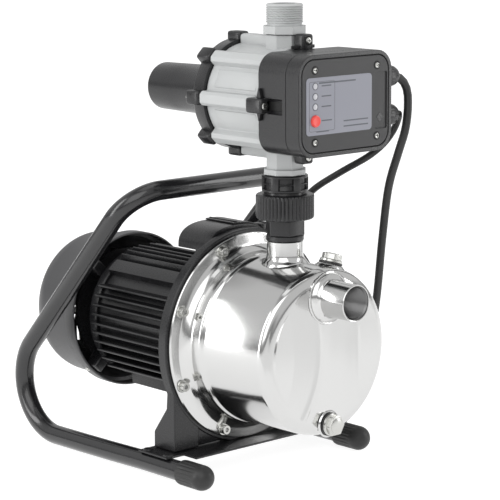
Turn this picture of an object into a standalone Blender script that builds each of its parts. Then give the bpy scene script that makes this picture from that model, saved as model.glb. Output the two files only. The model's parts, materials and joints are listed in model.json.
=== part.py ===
"""Shallow well jet pump on a tube carry frame, with an automatic pump controller on its outlet.

Frame: metres, +Z up, floor at Z = 0, shaft along Y with the suction end towards -Y, origin at the
bottom centre of the pump. The design is written in millimetres: x across, y measured along the shaft
from the casing flange (negative towards the suction end), z above the floor.
"""
import math

import bmesh
import bpy
from mathutils import Matrix, Vector

MM = 0.001
GAP = 0.3                 # clearance between touching pieces
FLANGE_Y = -63.5          # world Y of the casing flange
SHAFT_Z = 135.0           # height of the shaft

# Stainless casing
CASING_R = 86.0
CASING_LENGTH = 121.0
CASING_CORNER = 13.0
FLANGE_R = 109.0
FLANGE_T = 3.0
BOLT_CIRCLE_R = 101.8
BOLT_COUNT = 8
SUCTION_Z = 192.0
SUCTION_END = -160.0
PORT_R = 18.7             # outside of a 1 inch socket
PORT_BORE_R = 15.6
OUTLET_Y = -57.5
OUTLET_TOP = 243.0
PRIMING_ANGLE = math.radians(17.0)
PRIMING_Y = -97.0
DRAIN_Z = 62.0

# Motor
BRACKET_R = 112.5
BRACKET_T = 12.2
HOUSING_FRONT = 16.0
HOUSING_REAR = 168.0
HOUSING_R = 66.0
FIN_R = 76.0
FIN_PITCH = 10.0
FIN_T = 2.4
BORE_R = 57.7
SHAFT_R = 8.5
COVER_FRONT = 188.0
COVER_REAR = 287.0

# Carry frame
RAIL_X = 111.3
TUBE_R = 10.3
CAP_R = 13.0
LEAN = math.radians(46.0)  # the uprights lean forward this far above the horizontal
CROSSBAR_Y = 54.3
CROSSBAR_Z = 289.5
PLATE_Z = 23.5             # underside of the base plate
PLATE_T = 2.2

# Union coupling and controller, stacked on the outlet
NUT_R = 29.8
NUT_Z = 265.9
NUT_TOP = 291.3
BODY_Z = 388.0
BODY_R = 53.0
BODY_REAR = 2.0
BODY_FRONT = -77.5
RIB_R = 62.5
NECK_R = 18.3
THREAD_R = 19.0
BOX_BACK = -88.0
BOX_SEAM = -126.5
BOX_FRONT = -145.0
BOX_HALF_X = 64.0
BOX_HALF_Z = 50.0
BOX_Z = 389.0
GLAND_X = 64.0
GLAND_Y = -122.0
GLAND_LENGTH = 28.0
MAINS_GLAND_Z = 409.0
MOTOR_GLAND_Z = 370.0

# Leads
LEAD_R = 4.3
COIL_X = 186.0
COIL_Y = 112.0
COIL_MEAN_R = 49.0

COLOURS = {
    "stainless": ((0.72, 0.72, 0.70), 0.15, 1.0),
    "zinc": ((0.62, 0.62, 0.60), 0.3, 1.0),
    "steel": ((0.45, 0.45, 0.46), 0.35, 1.0),
    "iron_black": ((0.02, 0.02, 0.022), 0.5, 0.0),
    "gloss_black": ((0.012, 0.012, 0.013), 0.2, 0.0),
    "cover_grey": ((0.06, 0.06, 0.062), 0.4, 0.0),
    "plastic_black": ((0.03, 0.03, 0.032), 0.45, 0.0),
    "plastic_grey": ((0.55, 0.56, 0.56), 0.45, 0.0),
    "plastic_white": ((0.7, 0.7, 0.66), 0.5, 0.0),
    "rubber": ((0.015, 0.015, 0.015), 0.7, 0.0),
    "brass": ((0.6, 0.42, 0.15), 0.3, 1.0),
    "copper": ((0.6, 0.25, 0.12), 0.4, 1.0),
    "button_red": ((0.8, 0.06, 0.05), 0.35, 0.0),
    "board_green": ((0.02, 0.2, 0.08), 0.5, 0.0),
}

# A solid's own Z axis is turned towards one of these.
TOWARDS = {
    "up": (0.0, 0.0, 0.0),
    "front": (math.pi / 2, 0.0, 0.0),
    "back": (-math.pi / 2, 0.0, 0.0),
    "right": (0.0, math.pi / 2, 0.0),
}


def clear_scene():
    for obj in list(bpy.data.objects):
        bpy.data.objects.remove(obj, do_unlink=True)


def new_collection(name):
    collection = bpy.data.collections.new(name)
    bpy.context.scene.collection.children.link(collection)
    return collection


def place(x, y, z):
    """World position of a point given in the design's millimetres."""
    return Vector((x, y + FLANGE_Y, z)) * MM


def material(kind):
    found = bpy.data.materials.get(kind)
    if found:
        return found
    colour, roughness, metallic = COLOURS[kind]
    made = bpy.data.materials.new(kind)
    made.use_nodes = True
    shader = made.node_tree.nodes["Principled BSDF"]
    shader.inputs["Base Color"].default_value = (*colour, 1.0)
    shader.inputs["Roughness"].default_value = roughness
    shader.inputs["Metallic"].default_value = metallic
    made.diffuse_color = (*colour, 1.0)
    return made


def add(name, data, kind, at=None, towards="up"):
    """Links a new object for this data; at is in design millimetres."""
    obj = bpy.data.objects.new(name, data)
    if kind:
        data.materials.append(material(kind))
        PARTS.objects.link(obj)
    else:
        obj.hide_render = True
        obj.display_type = "WIRE"
        CUTTERS.objects.link(obj)
    if at is not None:
        obj.location = place(*at)
    obj.rotation_euler = TOWARDS[towards]
    return obj


def mesh_from(bm, name):
    mesh = bpy.data.meshes.new(name)
    bm.to_mesh(mesh)
    bm.free()
    return mesh


def turned(name, profile, kind, at, towards="up", steps=32, ring=False):
    """A turned solid: (radius, height) points down the outer side; a ring's profile closes on itself."""
    bm = bmesh.new()
    verts = [bm.verts.new((r * MM, 0.0, h * MM)) for r, h in profile]
    for first, second in zip(verts, verts[1:]):
        bm.edges.new((first, second))
    if ring:
        bm.edges.new((verts[-1], verts[0]))
    obj = add(name, mesh_from(bm, name), kind, at, towards)
    screw = obj.modifiers.new("turn", "SCREW")
    screw.steps = steps
    screw.render_steps = steps
    screw.use_merge_vertices = True
    screw.merge_threshold = 0.00002
    screw.use_smooth_shade = True
    return obj


def boxes(name, kind, items, bevel=0.0, segments=2):
    """One mesh of boxes, each (size, centre) or (size, centre, turn) with turn a 4x4 rotation."""
    bm = bmesh.new()
    for size, centre, *turn in items:
        shift = Matrix.Translation(place(*centre))
        scale = Matrix.Diagonal((*(Vector(size) * MM), 1.0))
        rotation = turn[0] if turn else Matrix.Identity(4)
        bmesh.ops.create_cube(bm, size=1.0, matrix=shift @ rotation @ scale)
    obj = add(name, mesh_from(bm, name), kind)
    if bevel:
        soften(obj, bevel, segments)
    return obj


def rods(name, kind, items, segments=24):
    """One mesh of round bars, each (radius, length, centre, towards)."""
    bm = bmesh.new()
    for radius, length, centre, towards in items:
        turn = Matrix.LocRotScale(place(*centre), euler(towards), None)
        bmesh.ops.create_cone(bm, cap_ends=True, segments=segments, radius1=radius * MM,
                              radius2=radius * MM, depth=length * MM, matrix=turn)
    return add(name, mesh_from(bm, name), kind)


def euler(towards):
    return Matrix.Rotation(TOWARDS[towards][0], 3, "X") @ Matrix.Rotation(TOWARDS[towards][1], 3, "Y")


def soften(obj, width, segments=2, angle=40.0):
    bevel = obj.modifiers.new("edges", "BEVEL")
    bevel.width = width * MM
    bevel.segments = segments
    bevel.limit_method = "ANGLE"
    bevel.angle_limit = math.radians(angle)
    return obj


def slab(name, outlines, thickness, kind, at, towards="up"):
    """A flat plate from closed outlines in the plate's own X and Y; inner outlines are holes."""
    curve = bpy.data.curves.new(name, "CURVE")
    curve.dimensions = "2D"
    curve.fill_mode = "BOTH"
    curve.extrude = thickness * MM / 2
    for outline in outlines:
        spline = curve.splines.new("POLY")
        spline.points.add(len(outline) - 1)
        for point, (x, y) in zip(spline.points, outline):
            point.co = (x * MM, y * MM, 0.0, 1.0)
        spline.use_cyclic_u = True
    return as_mesh(add(name, curve, kind, at, towards))


def as_mesh(obj):
    """Turns a curve object into a mesh object with welded caps, so that it can be cut."""
    graph = bpy.context.evaluated_depsgraph_get()
    mesh = bpy.data.meshes.new_from_object(obj.evaluated_get(graph))
    bm = bmesh.new()
    bm.from_mesh(mesh)
    bmesh.ops.remove_doubles(bm, verts=bm.verts, dist=0.00001)
    bm.to_mesh(mesh)
    bm.free()
    name = obj.name
    collection = obj.users_collection[0]
    made = bpy.data.objects.new(name + "_mesh", mesh)
    made.matrix_world = obj.matrix_world
    made.hide_render = obj.hide_render
    made.display_type = obj.display_type
    collection.objects.link(made)
    bpy.data.objects.remove(obj, do_unlink=True)
    made.name = name
    return made


def tube(name, points, radius, kind, resolution=2):
    """A round bar or cord along design points, as a curve with filled ends."""
    curve = bpy.data.curves.new(name, "CURVE")
    curve.dimensions = "3D"
    curve.bevel_depth = radius * MM
    curve.bevel_resolution = resolution
    curve.use_fill_caps = True
    spline = curve.splines.new("POLY")
    spline.points.add(len(points) - 1)
    for point, position in zip(spline.points, points):
        point.co = (*place(*position), 1.0)
    return add(name, curve, kind)


def combine(obj, tool, operation, solver):
    boolean = obj.modifiers.new(operation.lower(), "BOOLEAN")
    boolean.operation = operation
    boolean.solver = solver
    boolean.object = tool
    return obj


def cut(obj, tool, solver="EXACT"):
    return combine(obj, tool, "DIFFERENCE", solver)


def join(obj, tool, solver="EXACT"):
    return combine(obj, tool, "UNION", solver)


def arc(centre, radius, start, stop, count):
    """Points on an arc, angles in degrees."""
    points = []
    for i in range(count + 1):
        angle = math.radians(start + (stop - start) * i / count)
        points.append((centre[0] + radius * math.cos(angle), centre[1] + radius * math.sin(angle)))
    return points


def circle(radius, count, centre=(0.0, 0.0)):
    return arc(centre, radius, 0.0, 360.0 * (count - 1) / count, count - 1)


def rounded(half_x, half_y, radius, count=5):
    """A rectangle with round corners."""
    points = []
    for turn, (sx, sy) in enumerate(((1, 1), (-1, 1), (-1, -1), (1, -1))):
        centre = (sx * (half_x - radius), sy * (half_y - radius))
        points += arc(centre, radius, 90 * turn, 90 * turn + 90, count)
    return points


def smooth_route(points, step):
    """Points every step millimetres along a smooth curve through the route's own points."""
    knots = [Vector(p) for p in points]
    ends = [2 * knots[0] - knots[1], *knots, 2 * knots[-1] - knots[-2]]
    dense = []
    for a, b, c, d in zip(ends, ends[1:], ends[2:], ends[3:]):
        for i in range(20):
            t = i / 20
            dense.append(0.5 * (2 * b + (c - a) * t + (2 * a - 5 * b + 4 * c - d) * t * t
                                + (3 * b - a - 3 * c + d) * t ** 3))
    dense.append(knots[-1])
    route = [dense[0]]
    for point in dense[1:-1]:
        if (point - route[-1]).length >= step and (dense[-1] - point).length >= step * 0.6:
            route.append(point)
    return [tuple(p) for p in (*route, dense[-1])]


def bolt_places():
    for i in range(BOLT_COUNT):
        angle = math.tau * (i + 0.5) / BOLT_COUNT
        yield i + 1, BOLT_CIRCLE_R * math.cos(angle), SHAFT_Z + BOLT_CIRCLE_R * math.sin(angle)


def make_casing():
    """Deep-drawn stainless casing with a flange, a suction socket, an outlet and two plug seats."""
    wall = 2.0
    front = CASING_LENGTH
    corner = arc((CASING_R - CASING_CORNER, front - CASING_CORNER), CASING_CORNER, 90, 0, 4)
    inner_r = CASING_R - wall
    inner_corner = arc((inner_r - CASING_CORNER, front - wall - CASING_CORNER), CASING_CORNER, 0, 90, 3)
    profile = [(0, front), *corner, (CASING_R + 0.5, 29), (89.0, 25), (89.5, 14), (94.5, 7.5),
               (97, FLANGE_T + 1), (106, FLANGE_T), (FLANGE_R, 1.5), (FLANGE_R, 0), (87.6, 0), (87.4, 12),
               (inner_r, 27), *inner_corner, (0, front - wall)]
    casing = turned("pump_casing", profile, "stainless", (0, 0, SHAFT_Z), "front", 48)
    priming = Vector((math.sin(PRIMING_ANGLE), 0, math.cos(PRIMING_ANGLE)))
    turn = Matrix.Rotation(PRIMING_ANGLE, 4, "Y")
    outlet = turned("outlet_socket", [(0, OUTLET_TOP), (PORT_R, OUTLET_TOP), (PORT_R, 227), (23, 219),
                                      (23, 207), (0, 207)], None, (0, OUTLET_Y, 0), "up", 32)
    join(casing, outlet)
    back = front + GAP
    turned("suction_socket", [(PORT_R, -SUCTION_END), (PORT_R, 127), (25, 122), (25, back),
                              (PORT_BORE_R, back), (PORT_BORE_R, -SUCTION_END)], "stainless",
           (0, 0, SUCTION_Z), "front", 32, ring=True)
    join(casing, rods("drain_seat", None, [(13.3, 5, (0, -120.1, DRAIN_Z), "front")], 24))
    seat = turned("priming_seat", [(0, 88.4), (13.2, 88.4), (13.2, 80), (0, 80)], None,
                  (0, PRIMING_Y, SHAFT_Z), "up", 24)
    seat.rotation_euler = turn.to_euler()
    join(casing, seat)
    bores = rods("casing_bores", None, [
        (PORT_BORE_R, 60, (0, SUCTION_END + 25, SUCTION_Z), "front"),
        (PORT_BORE_R, 70, (0, OUTLET_Y, OUTLET_TOP - 25), "up")], 24)
    cut(casing, bores, "MANIFOLD")
    holes = rods("casing_holes", None, [(7.8, 40, (0, -CASING_LENGTH + 5, DRAIN_Z), "front"),
                                        *[(3.4, 20, (x, 0, z), "front") for _, x, z in bolt_places()]], 10)
    cut(casing, holes, "MANIFOLD")
    bore = turned("priming_bore", [(0, 110), (7.3, 110), (7.3, 70), (0, 70)], None,
                  (0, PRIMING_Y, SHAFT_Z), "up", 16)
    bore.rotation_euler = turn.to_euler()
    cut(casing, bore, "MANIFOLD")
    make_plug("priming_plug", tuple(priming * 88.4 + Vector((0, PRIMING_Y, SHAFT_Z))), turn.to_euler())
    make_plug("drain_plug", (0, -122.6, DRAIN_Z), TOWARDS["front"])


def make_plug(name, seat, turn):
    """A hex-head screw plug and its sealing washer; seat is the middle of the face that it seals."""
    washer = turned(name + "_washer", [(12.2, 2.6), (12.2, GAP), (7.6, GAP), (7.6, 2.6)], "rubber",
                    seat, "up", 20, ring=True)
    washer.rotation_euler = turn
    bm = bmesh.new()
    bmesh.ops.create_cone(bm, cap_ends=True, segments=6, radius1=11.8 * MM, radius2=11.8 * MM,
                          depth=9 * MM, matrix=Matrix.Translation((0, 0, 8.9 * MM)))
    plug = add(name, mesh_from(bm, name), "zinc", seat)
    plug.rotation_euler = turn
    shank = turned(name + "_shank", [(0, 6), (11.5, 4.9), (11.5, 2.9), (7.0, 2.9), (7.0, -7), (0, -7)], None,
                   seat, "up", 16)
    shank.rotation_euler = turn
    join(plug, shank)


def make_flange_bolts():
    profile = [(0, 3.6), (2.5, 3.6), (2.5, 6.6), (5, 6.6), (5, GAP), (3, GAP), (3, -14), (0, -14)]
    for number, x, z in bolt_places():
        turned(f"flange_bolt_{number}", profile, "zinc", (x, -FLANGE_T - 1.2, z), "front", 12)


def make_wet_end():
    """The seal plate, the seals, the impeller, the diffuser and the ejector inside the casing."""
    turned("casing_seal", [(87.0, 3.4), (87.0, GAP), (83.6, GAP), (83.6, 3.4)], "rubber",
           (0, 0, SHAFT_Z), "front", 36, ring=True)
    turned("seal_plate", [(94.6, 0), (94.6, -2.0), (13.4, -2.0), (13.4, 0)], "stainless",
           (0, 0, SHAFT_Z), "front", 36, ring=True)
    turned("seal_seat", [(13.0, 2.5), (13.0, -2.0), (9.0, -2.0), (9.0, 2.5)], "plastic_white",
           (0, 0, SHAFT_Z), "front", 20, ring=True)
    turned("rotating_seal", [(12.5, 12.5), (12.5, 2.8), (8.8, 2.8), (8.8, 12.5)], "steel",
           (0, 0, SHAFT_Z), "front", 20, ring=True)
    impeller = turned("impeller", [(16, 33), (20, 26), (58, 23), (58, 14), (12, 14), (8.8, 13), (8.8, 30),
                                   (12, 30), (12, 33)], "plastic_white", (0, 0, SHAFT_Z), "front", 28, ring=True)
    outlets = []
    for i in range(6):
        turn = Matrix.Rotation(math.tau * i / 6, 4, "Y")
        centre = turn @ Vector((48, -18.5, 0))
        outlets.append(((26, 4.5, 22), (centre.x, centre.y, centre.z + SHAFT_Z), turn))
    cut(impeller, boxes("impeller_outlets", None, outlets))
    turned("impeller_nut", [(0, 42), (7, 42), (10, 39), (10, 30.4), (11.5, 30.4), (11.5, 30.3), (0, 30.3)],
           "brass", (0, 0, SHAFT_Z), "front", 12)
    turned("diffuser", [(80, 32), (80, 6), (77, 6), (77, 27), (21.5, 30.5), (21.5, 33.5)], "plastic_white",
           (0, 0, SHAFT_Z), "front", 28, ring=True)
    ejector = turned("ejector", [(15, 117), (15, 100), (20, 74), (20, 43), (8.5, 43), (7, 70), (5, 84),
                                 (11, 96), (11, 117)], "plastic_white", (0, 0, SUCTION_Z - 22), "front", 24,
                     ring=True)
    ejector.location = place(0, 0, SHAFT_Z)


def make_bracket():
    """Cast motor bracket: a disc behind the casing with two feet and a bearing seat."""
    back = -BRACKET_T - GAP
    bracket = turned("motor_bracket", [(BRACKET_R, -GAP), (BRACKET_R, back + 2), (BRACKET_R - 2, back),
                                       (73, back), (73, back - 3), (69.5, back - 3), (69.5, back), (26, back),
                                       (26, -31), (20.4, -31), (20.4, -17.4), (15, -17.4), (15, -GAP)],
                     "iron_black", (0, 0, SHAFT_Z), "front", 48, ring=True)
    base = PLATE_Z + PLATE_T + GAP
    foot = [(0.6, base), (34, base), (34, 38), (14, 70), (12, 88), (0.6, 88)]
    for side in (-1, 1):
        leg = slab("leg", [foot], 33, None, (side * 84.5, 0, 0))
        # The outline is drawn across the foot, so its X runs along the shaft and its Y upwards.
        leg.matrix_world = (Matrix.Translation(place(side * 84.5, 0, 0))
                            @ Matrix(((0, 0, 1, 0), (1, 0, 0, 0), (0, 1, 0, 0), (0, 0, 0, 1))))
        join(bracket, leg)
    cut(bracket, boxes("bracket_base", None, [((300, 100, 20), (0, 0, base - 10))]))
    recess = turned("plate_recess", [(0, 5), (95, 5), (95, -2.3), (0, -2.3)], None, (0, 0, SHAFT_Z),
                    "front", 48)
    cut(bracket, recess)
    holes = rods("bracket_holes", None, [(3.4, 40, (x, 0, z), "front") for _, x, z in bolt_places()], 8)
    cut(bracket, holes)


def housing_outline():
    """Round core with upright fins and a pad near the top, level fins down both sides and a flat base."""
    half = FIN_T / 2
    level = lambda r, v: math.sqrt(r * r - v * v)
    side = [(0.0, HOUSING_R)]
    for x in (8.0, 16.0, 24.0, 32.0):
        side += [(x - half, level(HOUSING_R, x - half)), (x - half, level(FIN_R, x - half)),
                 (x + half, level(FIN_R, x + half)), (x + half, level(HOUSING_R, x + half))]
    side += [arc((0, 0), HOUSING_R, 58.5, 58.5, 1)[0], *arc((0, 0), FIN_R - 1.5, 57.5, 46, 1),
             arc((0, 0), HOUSING_R, 45, 45, 1)[0]]
    for i in range(10):
        z = 37.5 - FIN_PITCH * i
        side += [(level(HOUSING_R, z + half), z + half), (level(FIN_R, z + half), z + half),
                 (level(FIN_R, z - half), z - half), (level(HOUSING_R, z - half), z - half)]
    side += [(22.0, -level(HOUSING_R, 22.0)), (20.0, -FIN_R - 2.0)]
    return side + [(-x, z) for x, z in reversed(side) if x > 0]


def make_motor():
    length = HOUSING_REAR - HOUSING_FRONT
    middle = (HOUSING_REAR + HOUSING_FRONT) / 2
    slab("motor_housing", [housing_outline(), circle(BORE_R, 36)], length, "iron_black",
         (0, middle, SHAFT_Z), "front")
    core = [(BORE_R - GAP, -46), (BORE_R - GAP, -136), (34, -136), (34, -46)]
    turned("stator_core", core, "steel", (0, 0, SHAFT_Z), "front", 24, ring=True)
    winding = [(53, -35.5), (53, -45.7), (33.7, -45.7), (33.7, -136.3), (53, -136.3), (53, -150), (31.6, -150),
               (31.6, -35.5)]
    turned("stator_winding", winding, "copper", (0, 0, SHAFT_Z), "front", 24, ring=True)
    turned("rotor", [(30.8, -46), (30.8, -136), (SHAFT_R + GAP, -136), (SHAFT_R + GAP, -46)], "steel",
           (0, 0, SHAFT_Z), "front", 24, ring=True)
    turned("motor_shaft", [(0, 30), (SHAFT_R, 30), (SHAFT_R, -228), (0, -228)], "steel", (0, 0, SHAFT_Z),
           "front", 20)
    for name, front in (("front_bearing", -17.7), ("rear_bearing", -168.6)):
        turned(name, [(20, front), (20, front - 12), (SHAFT_R + GAP, front - 12), (SHAFT_R + GAP, front)],
               "steel", (0, 0, SHAFT_Z), "front", 16, ring=True)
    shield = turned("rear_end_shield", [(64, -HOUSING_REAR - GAP), (70, -HOUSING_REAR - GAP), (70, -180),
                                        (30, -180), (26, -188), (12, -188), (12, -181.2), (20.4, -181.2),
                                        (20.4, -HOUSING_REAR - GAP)],
                    "iron_black", (0, 0, SHAFT_Z), "front", 28, ring=True)
    lugs = []
    for i in range(4):
        turn = Matrix.Rotation(math.tau * (i + 0.5) / 4, 4, "Y")
        centre = turn @ Vector((72, 189, 0))
        lugs.append(((22, 18, 12), (centre.x, centre.y, centre.z + SHAFT_Z), turn))
    join(shield, boxes("shield_lugs", None, lugs))


def make_fan_and_cover():
    fan = turned("cooling_fan", [(66, -206), (66, -209), (16, -209), (16, -224), (8.8, -224), (8.8, -206)],
                 "plastic_black", (0, 0, SHAFT_Z), "front", 32, ring=True)
    blades = []
    for i in range(8):
        turn = Matrix.Rotation(math.tau * i / 8, 4, "Y")
        centre = turn @ Vector((39, 218, 0))
        blades.append(((50, 20, 2.4), (centre.x, centre.y, centre.z + SHAFT_Z), turn))
    join(fan, boxes("fan_blades", None, blades))
    dome = [(0.0, COVER_REAR)]
    inside = [(0.0, COVER_REAR - 1.8)]
    for i in range(1, 7):
        angle = math.pi / 2 * i / 6
        dome.append((30 + 50 * math.sin(angle), COVER_REAR - 40 + 40 * math.cos(angle)))
        inside.append((30 + 48.2 * math.sin(angle), COVER_REAR - 40 + 38.2 * math.cos(angle)))
    profile = [*dome, (82, 205), (86, 204), (86, COVER_FRONT), (84.2, COVER_FRONT), (84.2, 202.5), (80.2, 203.5),
               *reversed(inside)]
    cover = turned("fan_cover", profile, "cover_grey", (0, 0, SHAFT_Z), "back", 36)
    slots = []
    for i in range(8):
        turn = Matrix.Rotation(math.tau * (i + 0.5) / 8, 4, "Y")
        centre = turn @ Vector((34, COVER_REAR, 0))
        slots.append(((30, 30, 6), (centre.x, centre.y, centre.z + SHAFT_Z), turn))
    cut(cover, boxes("cover_slots", None, slots))


def arch(offset, start, stop, count):
    """Part of the terminal box's arched section, offset outwards; X across and Y up, angles in degrees."""
    points = []
    for i in range(count + 1):
        angle = math.radians(start + (stop - start) * i / count)
        along = math.copysign(abs(math.cos(angle)) ** 0.8, math.cos(angle))
        points.append((-1 + (41 + offset) * along, 228 + (22.5 + offset) * math.sin(angle) ** 0.8))
    return points


def make_terminal_box():
    front = BRACKET_T + GAP + 0.4
    rear = 62.0
    middle = (front + rear) / 2
    box = slab("terminal_box", [[(40, 226), *arch(0, 4, 176, 16), (-42, 226)]], rear - front, "plastic_black",
               (0, middle, 0), "front")
    join(box, boxes("terminal_neck", None, [((56, 36, 18), (0, 33, 220.4)), ((9, 16, 20), (37.5, 21.4, 237))]))
    hollow = slab("terminal_hollow", [[(37.5, 228.6), *arch(-2.6, 4, 176, 12), (-39.5, 228.6)]],
                  rear - front - 5, None, (0, middle, 0), "front")
    cut(box, hollow)
    cut(box, boxes("terminal_mouth", None, [((20, 20, 24), (18, 46, 248))]))
    cut(box, rods("terminal_lead_hole", None, [(3.0, 20, (38, 21.4, 238), "right")], 12))
    slab("terminal_box_lid", [[*arch(2.4, 20, 91, 8), *arch(GAP + 0.1, 91, 20, 8)]], 30, "plastic_black",
         (0, 46.5, 0), "front")
    rods("run_capacitor", "plastic_white", [(7.6, 40, (-20, 38, 237), "front")], 20)
    turned("terminal_gland", [(0, 10), (4.4, 10), (4.4, 15), (7, 15), (8.5, 12), (8.5, 5), (9, 5), (9, GAP), (0, GAP)],
           "plastic_black", (42, 21.4, 238), "right", 12)


def frame_route():
    """One bent tube: along the floor, up and forward, across the top and back down the other side."""
    low = TUBE_R + 0.2
    start = PLATE_Z - GAP - TUBE_R
    bend = 57.0
    rise = Vector((0, -math.cos(LEAN), math.sin(LEAN)))
    bend_y = 187.5
    side = [(-RAIL_X, -46, start), (-RAIL_X, 38, start), (-RAIL_X, 90, 11.7), (-RAIL_X, bend_y, low)]
    for i in range(1, 10):
        angle = (math.pi - LEAN) * i / 9
        side.append((-RAIL_X, bend_y + bend * math.sin(angle), low + bend - bend * math.cos(angle)))
    corner = 40.0
    top = Vector((-RAIL_X, CROSSBAR_Y, CROSSBAR_Z))
    for i in range(9):
        angle = math.pi / 2 * i / 8
        across = corner * (1 - math.cos(angle))
        down = corner * (1 - math.sin(angle))
        side.append(tuple(top + Vector((across, 0, 0)) - rise * down))
    return side + [(-x, y, z) for x, y, z in reversed(side)]


def make_frame():
    tube("carry_frame", frame_route(), TUBE_R, "gloss_black", 2)
    cap = [(0, 66), *arc((0, 53), CAP_R, 90, 0, 5)[1:], (CAP_R, 26), (11.4, 24), (11.0, 24), (11.0, 47), (0, 47)]
    for name, side in (("foot_cap_left", -1), ("foot_cap_right", 1)):
        turned(name, cap, "rubber", (side * RAIL_X, 0, CAP_R), "front", 20)
    edge = [(-96, -27), (96, -27), (96, -7), (119, -7), (119, 38), (-119, 38), (-119, -7), (-96, -7)]
    slab("base_plate", [edge], PLATE_T, "iron_black", (0, 0, PLATE_Z + PLATE_T / 2))


def make_union():
    hexagon = slab("union_adapter", [circle(20.5, 6)], 16.4, "plastic_black", (0, OUTLET_Y, 257.1))
    stem = turned("adapter_stem", [(0, 284), (24.0, 284), (24.0, 266.6), (18, 265), (18, 250), (19.4, 248.8),
                                   (19.4, 243.4), (15.2, 243.4), (15.2, 226), (0, 226)], None,
                  (0, OUTLET_Y, 0), "up", 28)
    join(hexagon, stem)
    cut(hexagon, rods("adapter_bore", None, [(11.5, 90, (0, OUTLET_Y, 255), "up")], 20))
    nut = [(NUT_R - 1.5, NUT_TOP), (NUT_R, NUT_TOP - 2), (NUT_R, NUT_Z + 2), (NUT_R - 1.5, NUT_Z),
           (24.4, NUT_Z), (24.4, 289.0), (21.6, 289.0), (21.6, NUT_TOP)]
    turned("union_nut", nut, "plastic_black", (0, OUTLET_Y, 0), "up", 28, ring=True)
    tail = [(21.0, 310.4), (23.5, 309.6), (23.5, 294.4), (21.2, 293.4), (21.2, 288.7), (24.0, 288.7), (24.0, 284.3),
            (12.0, 284.3), (12.0, 296), (15.7, 296), (15.7, 310.4)]
    turned("union_tailpiece", tail, "plastic_black", (0, OUTLET_Y, 0), "up", 28, ring=True)


def make_controller_body():
    """Grey flow body: a ribbed drum along the shaft with a threaded neck above and below."""
    length = BODY_REAR - BODY_FRONT
    body = slab("controller_body", [circle(BODY_R, 36)], length, "plastic_grey",
                (0, (BODY_REAR + BODY_FRONT) / 2, BODY_Z), "front")
    ribs = []
    for i in range(8):
        angle = math.tau * i / 8
        stop = BODY_FRONT if i % 4 in (0, 1, 3) else OUTLET_Y
        turn = Matrix.Rotation(-angle, 4, "Y")
        centre = turn @ Vector((RIB_R - 7, (BODY_REAR + stop) / 2, 0))
        ribs.append(((14, BODY_REAR - stop, 15), (centre.x, centre.y, centre.z + BODY_Z), turn))
    join(body, boxes("body_ribs", None, ribs, 3.6, 1), "MANIFOLD")
    flats = circle(NECK_R / math.cos(math.pi / 8), 8)
    flats = [(x * math.cos(math.pi / 8) - y * math.sin(math.pi / 8),
              x * math.sin(math.pi / 8) + y * math.cos(math.pi / 8)) for x, y in flats]
    neck = slab("body_neck", [flats], 450 - 318, None, (0, OUTLET_Y, 384))
    join(body, neck, "MANIFOLD")
    hexes = slab("body_hex", [circle(22.0, 6)], 461 - 311, None, (0, OUTLET_Y, 386))
    middle = turned("hex_relief", [(60, 453), (60, 317.6), (0, 317.6), (0, 453)], None, (0, OUTLET_Y, 0))
    cut(hexes, middle)
    join(body, hexes, "MANIFOLD")
    threads = turned("body_threads", [(0, 483), (THREAD_R - 1, 483), (THREAD_R, 482), (THREAD_R, 463),
                                      (17.5, 461), (15.4, 440), (15.4, 298), (0, 298)], None,
                     (0, OUTLET_Y, 0), "up", 28)
    join(body, threads, "MANIFOLD")
    bores = rods("body_bores", None, [(11.5, 240, (0, OUTLET_Y, 390), "up")], 20)
    cut(body, bores, "MANIFOLD")
    chamber = turned("body_chamber", [(0, 20), (46, 20), (46, -72), (0, -72)], None, (0, 0, BODY_Z), "back", 40)
    cut(body, chamber, "MANIFOLD")
    cut(body, rods("valve_seat", None, [(17, 30, (0, OUTLET_Y, 356.5), "up")], 24), "MANIFOLD")
    flow = [(0, 376), (4, 376), (4, 346), (16, 346), (16, 341.9), (10.5, 341.8), (10.5, 332), (0, 332)]
    turned("flow_valve", flow, "plastic_white", (0, OUTLET_Y, 0), "up", 20)


def make_controller_rear():
    """Black diaphragm cover with its spring tower, the diaphragm, the plunger and the spring."""
    cover = [(0, 132), (24, 132), (25.5, 130.5), (26.5, 24), (50, 22), (57, 18), (57, BODY_REAR + GAP),
             (47, BODY_REAR + GAP), (47, 12), (22, 12), (22, 129), (0, 129)]
    obj = turned("diaphragm_cover", cover, "plastic_black", (0, 0, BODY_Z), "back", 32)
    lugs = []
    for i in range(8):
        turn = Matrix.Rotation(-math.tau * i / 8, 4, "Y")
        centre = turn @ Vector((58, 12.2, 0))
        lugs.append(((13, 19.6, 15), (centre.x, centre.y, centre.z + BODY_Z), turn))
    join(obj, boxes("cover_lugs", None, lugs, 3.4, 1))
    turned("diaphragm", [(45.6, 5.0), (45.6, BODY_REAR + GAP), (19, BODY_REAR + GAP), (19, 5.0)], "rubber",
           (0, 0, BODY_Z), "back", 24, ring=True)
    plunger = [(0, 30), (8, 30), (8, 12), (18.6, 12), (18.6, -4), (0, -4)]
    turned("pressure_plunger", plunger, "plastic_white", (0, 0, BODY_Z), "back", 20)
    spring = [(14.5, 128.4), (14.5, 12.4), (10.5, 12.4), (10.5, 128.4)]
    turned("pressure_spring", spring, "steel", (0, 0, BODY_Z), "back", 20, ring=True)


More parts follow.
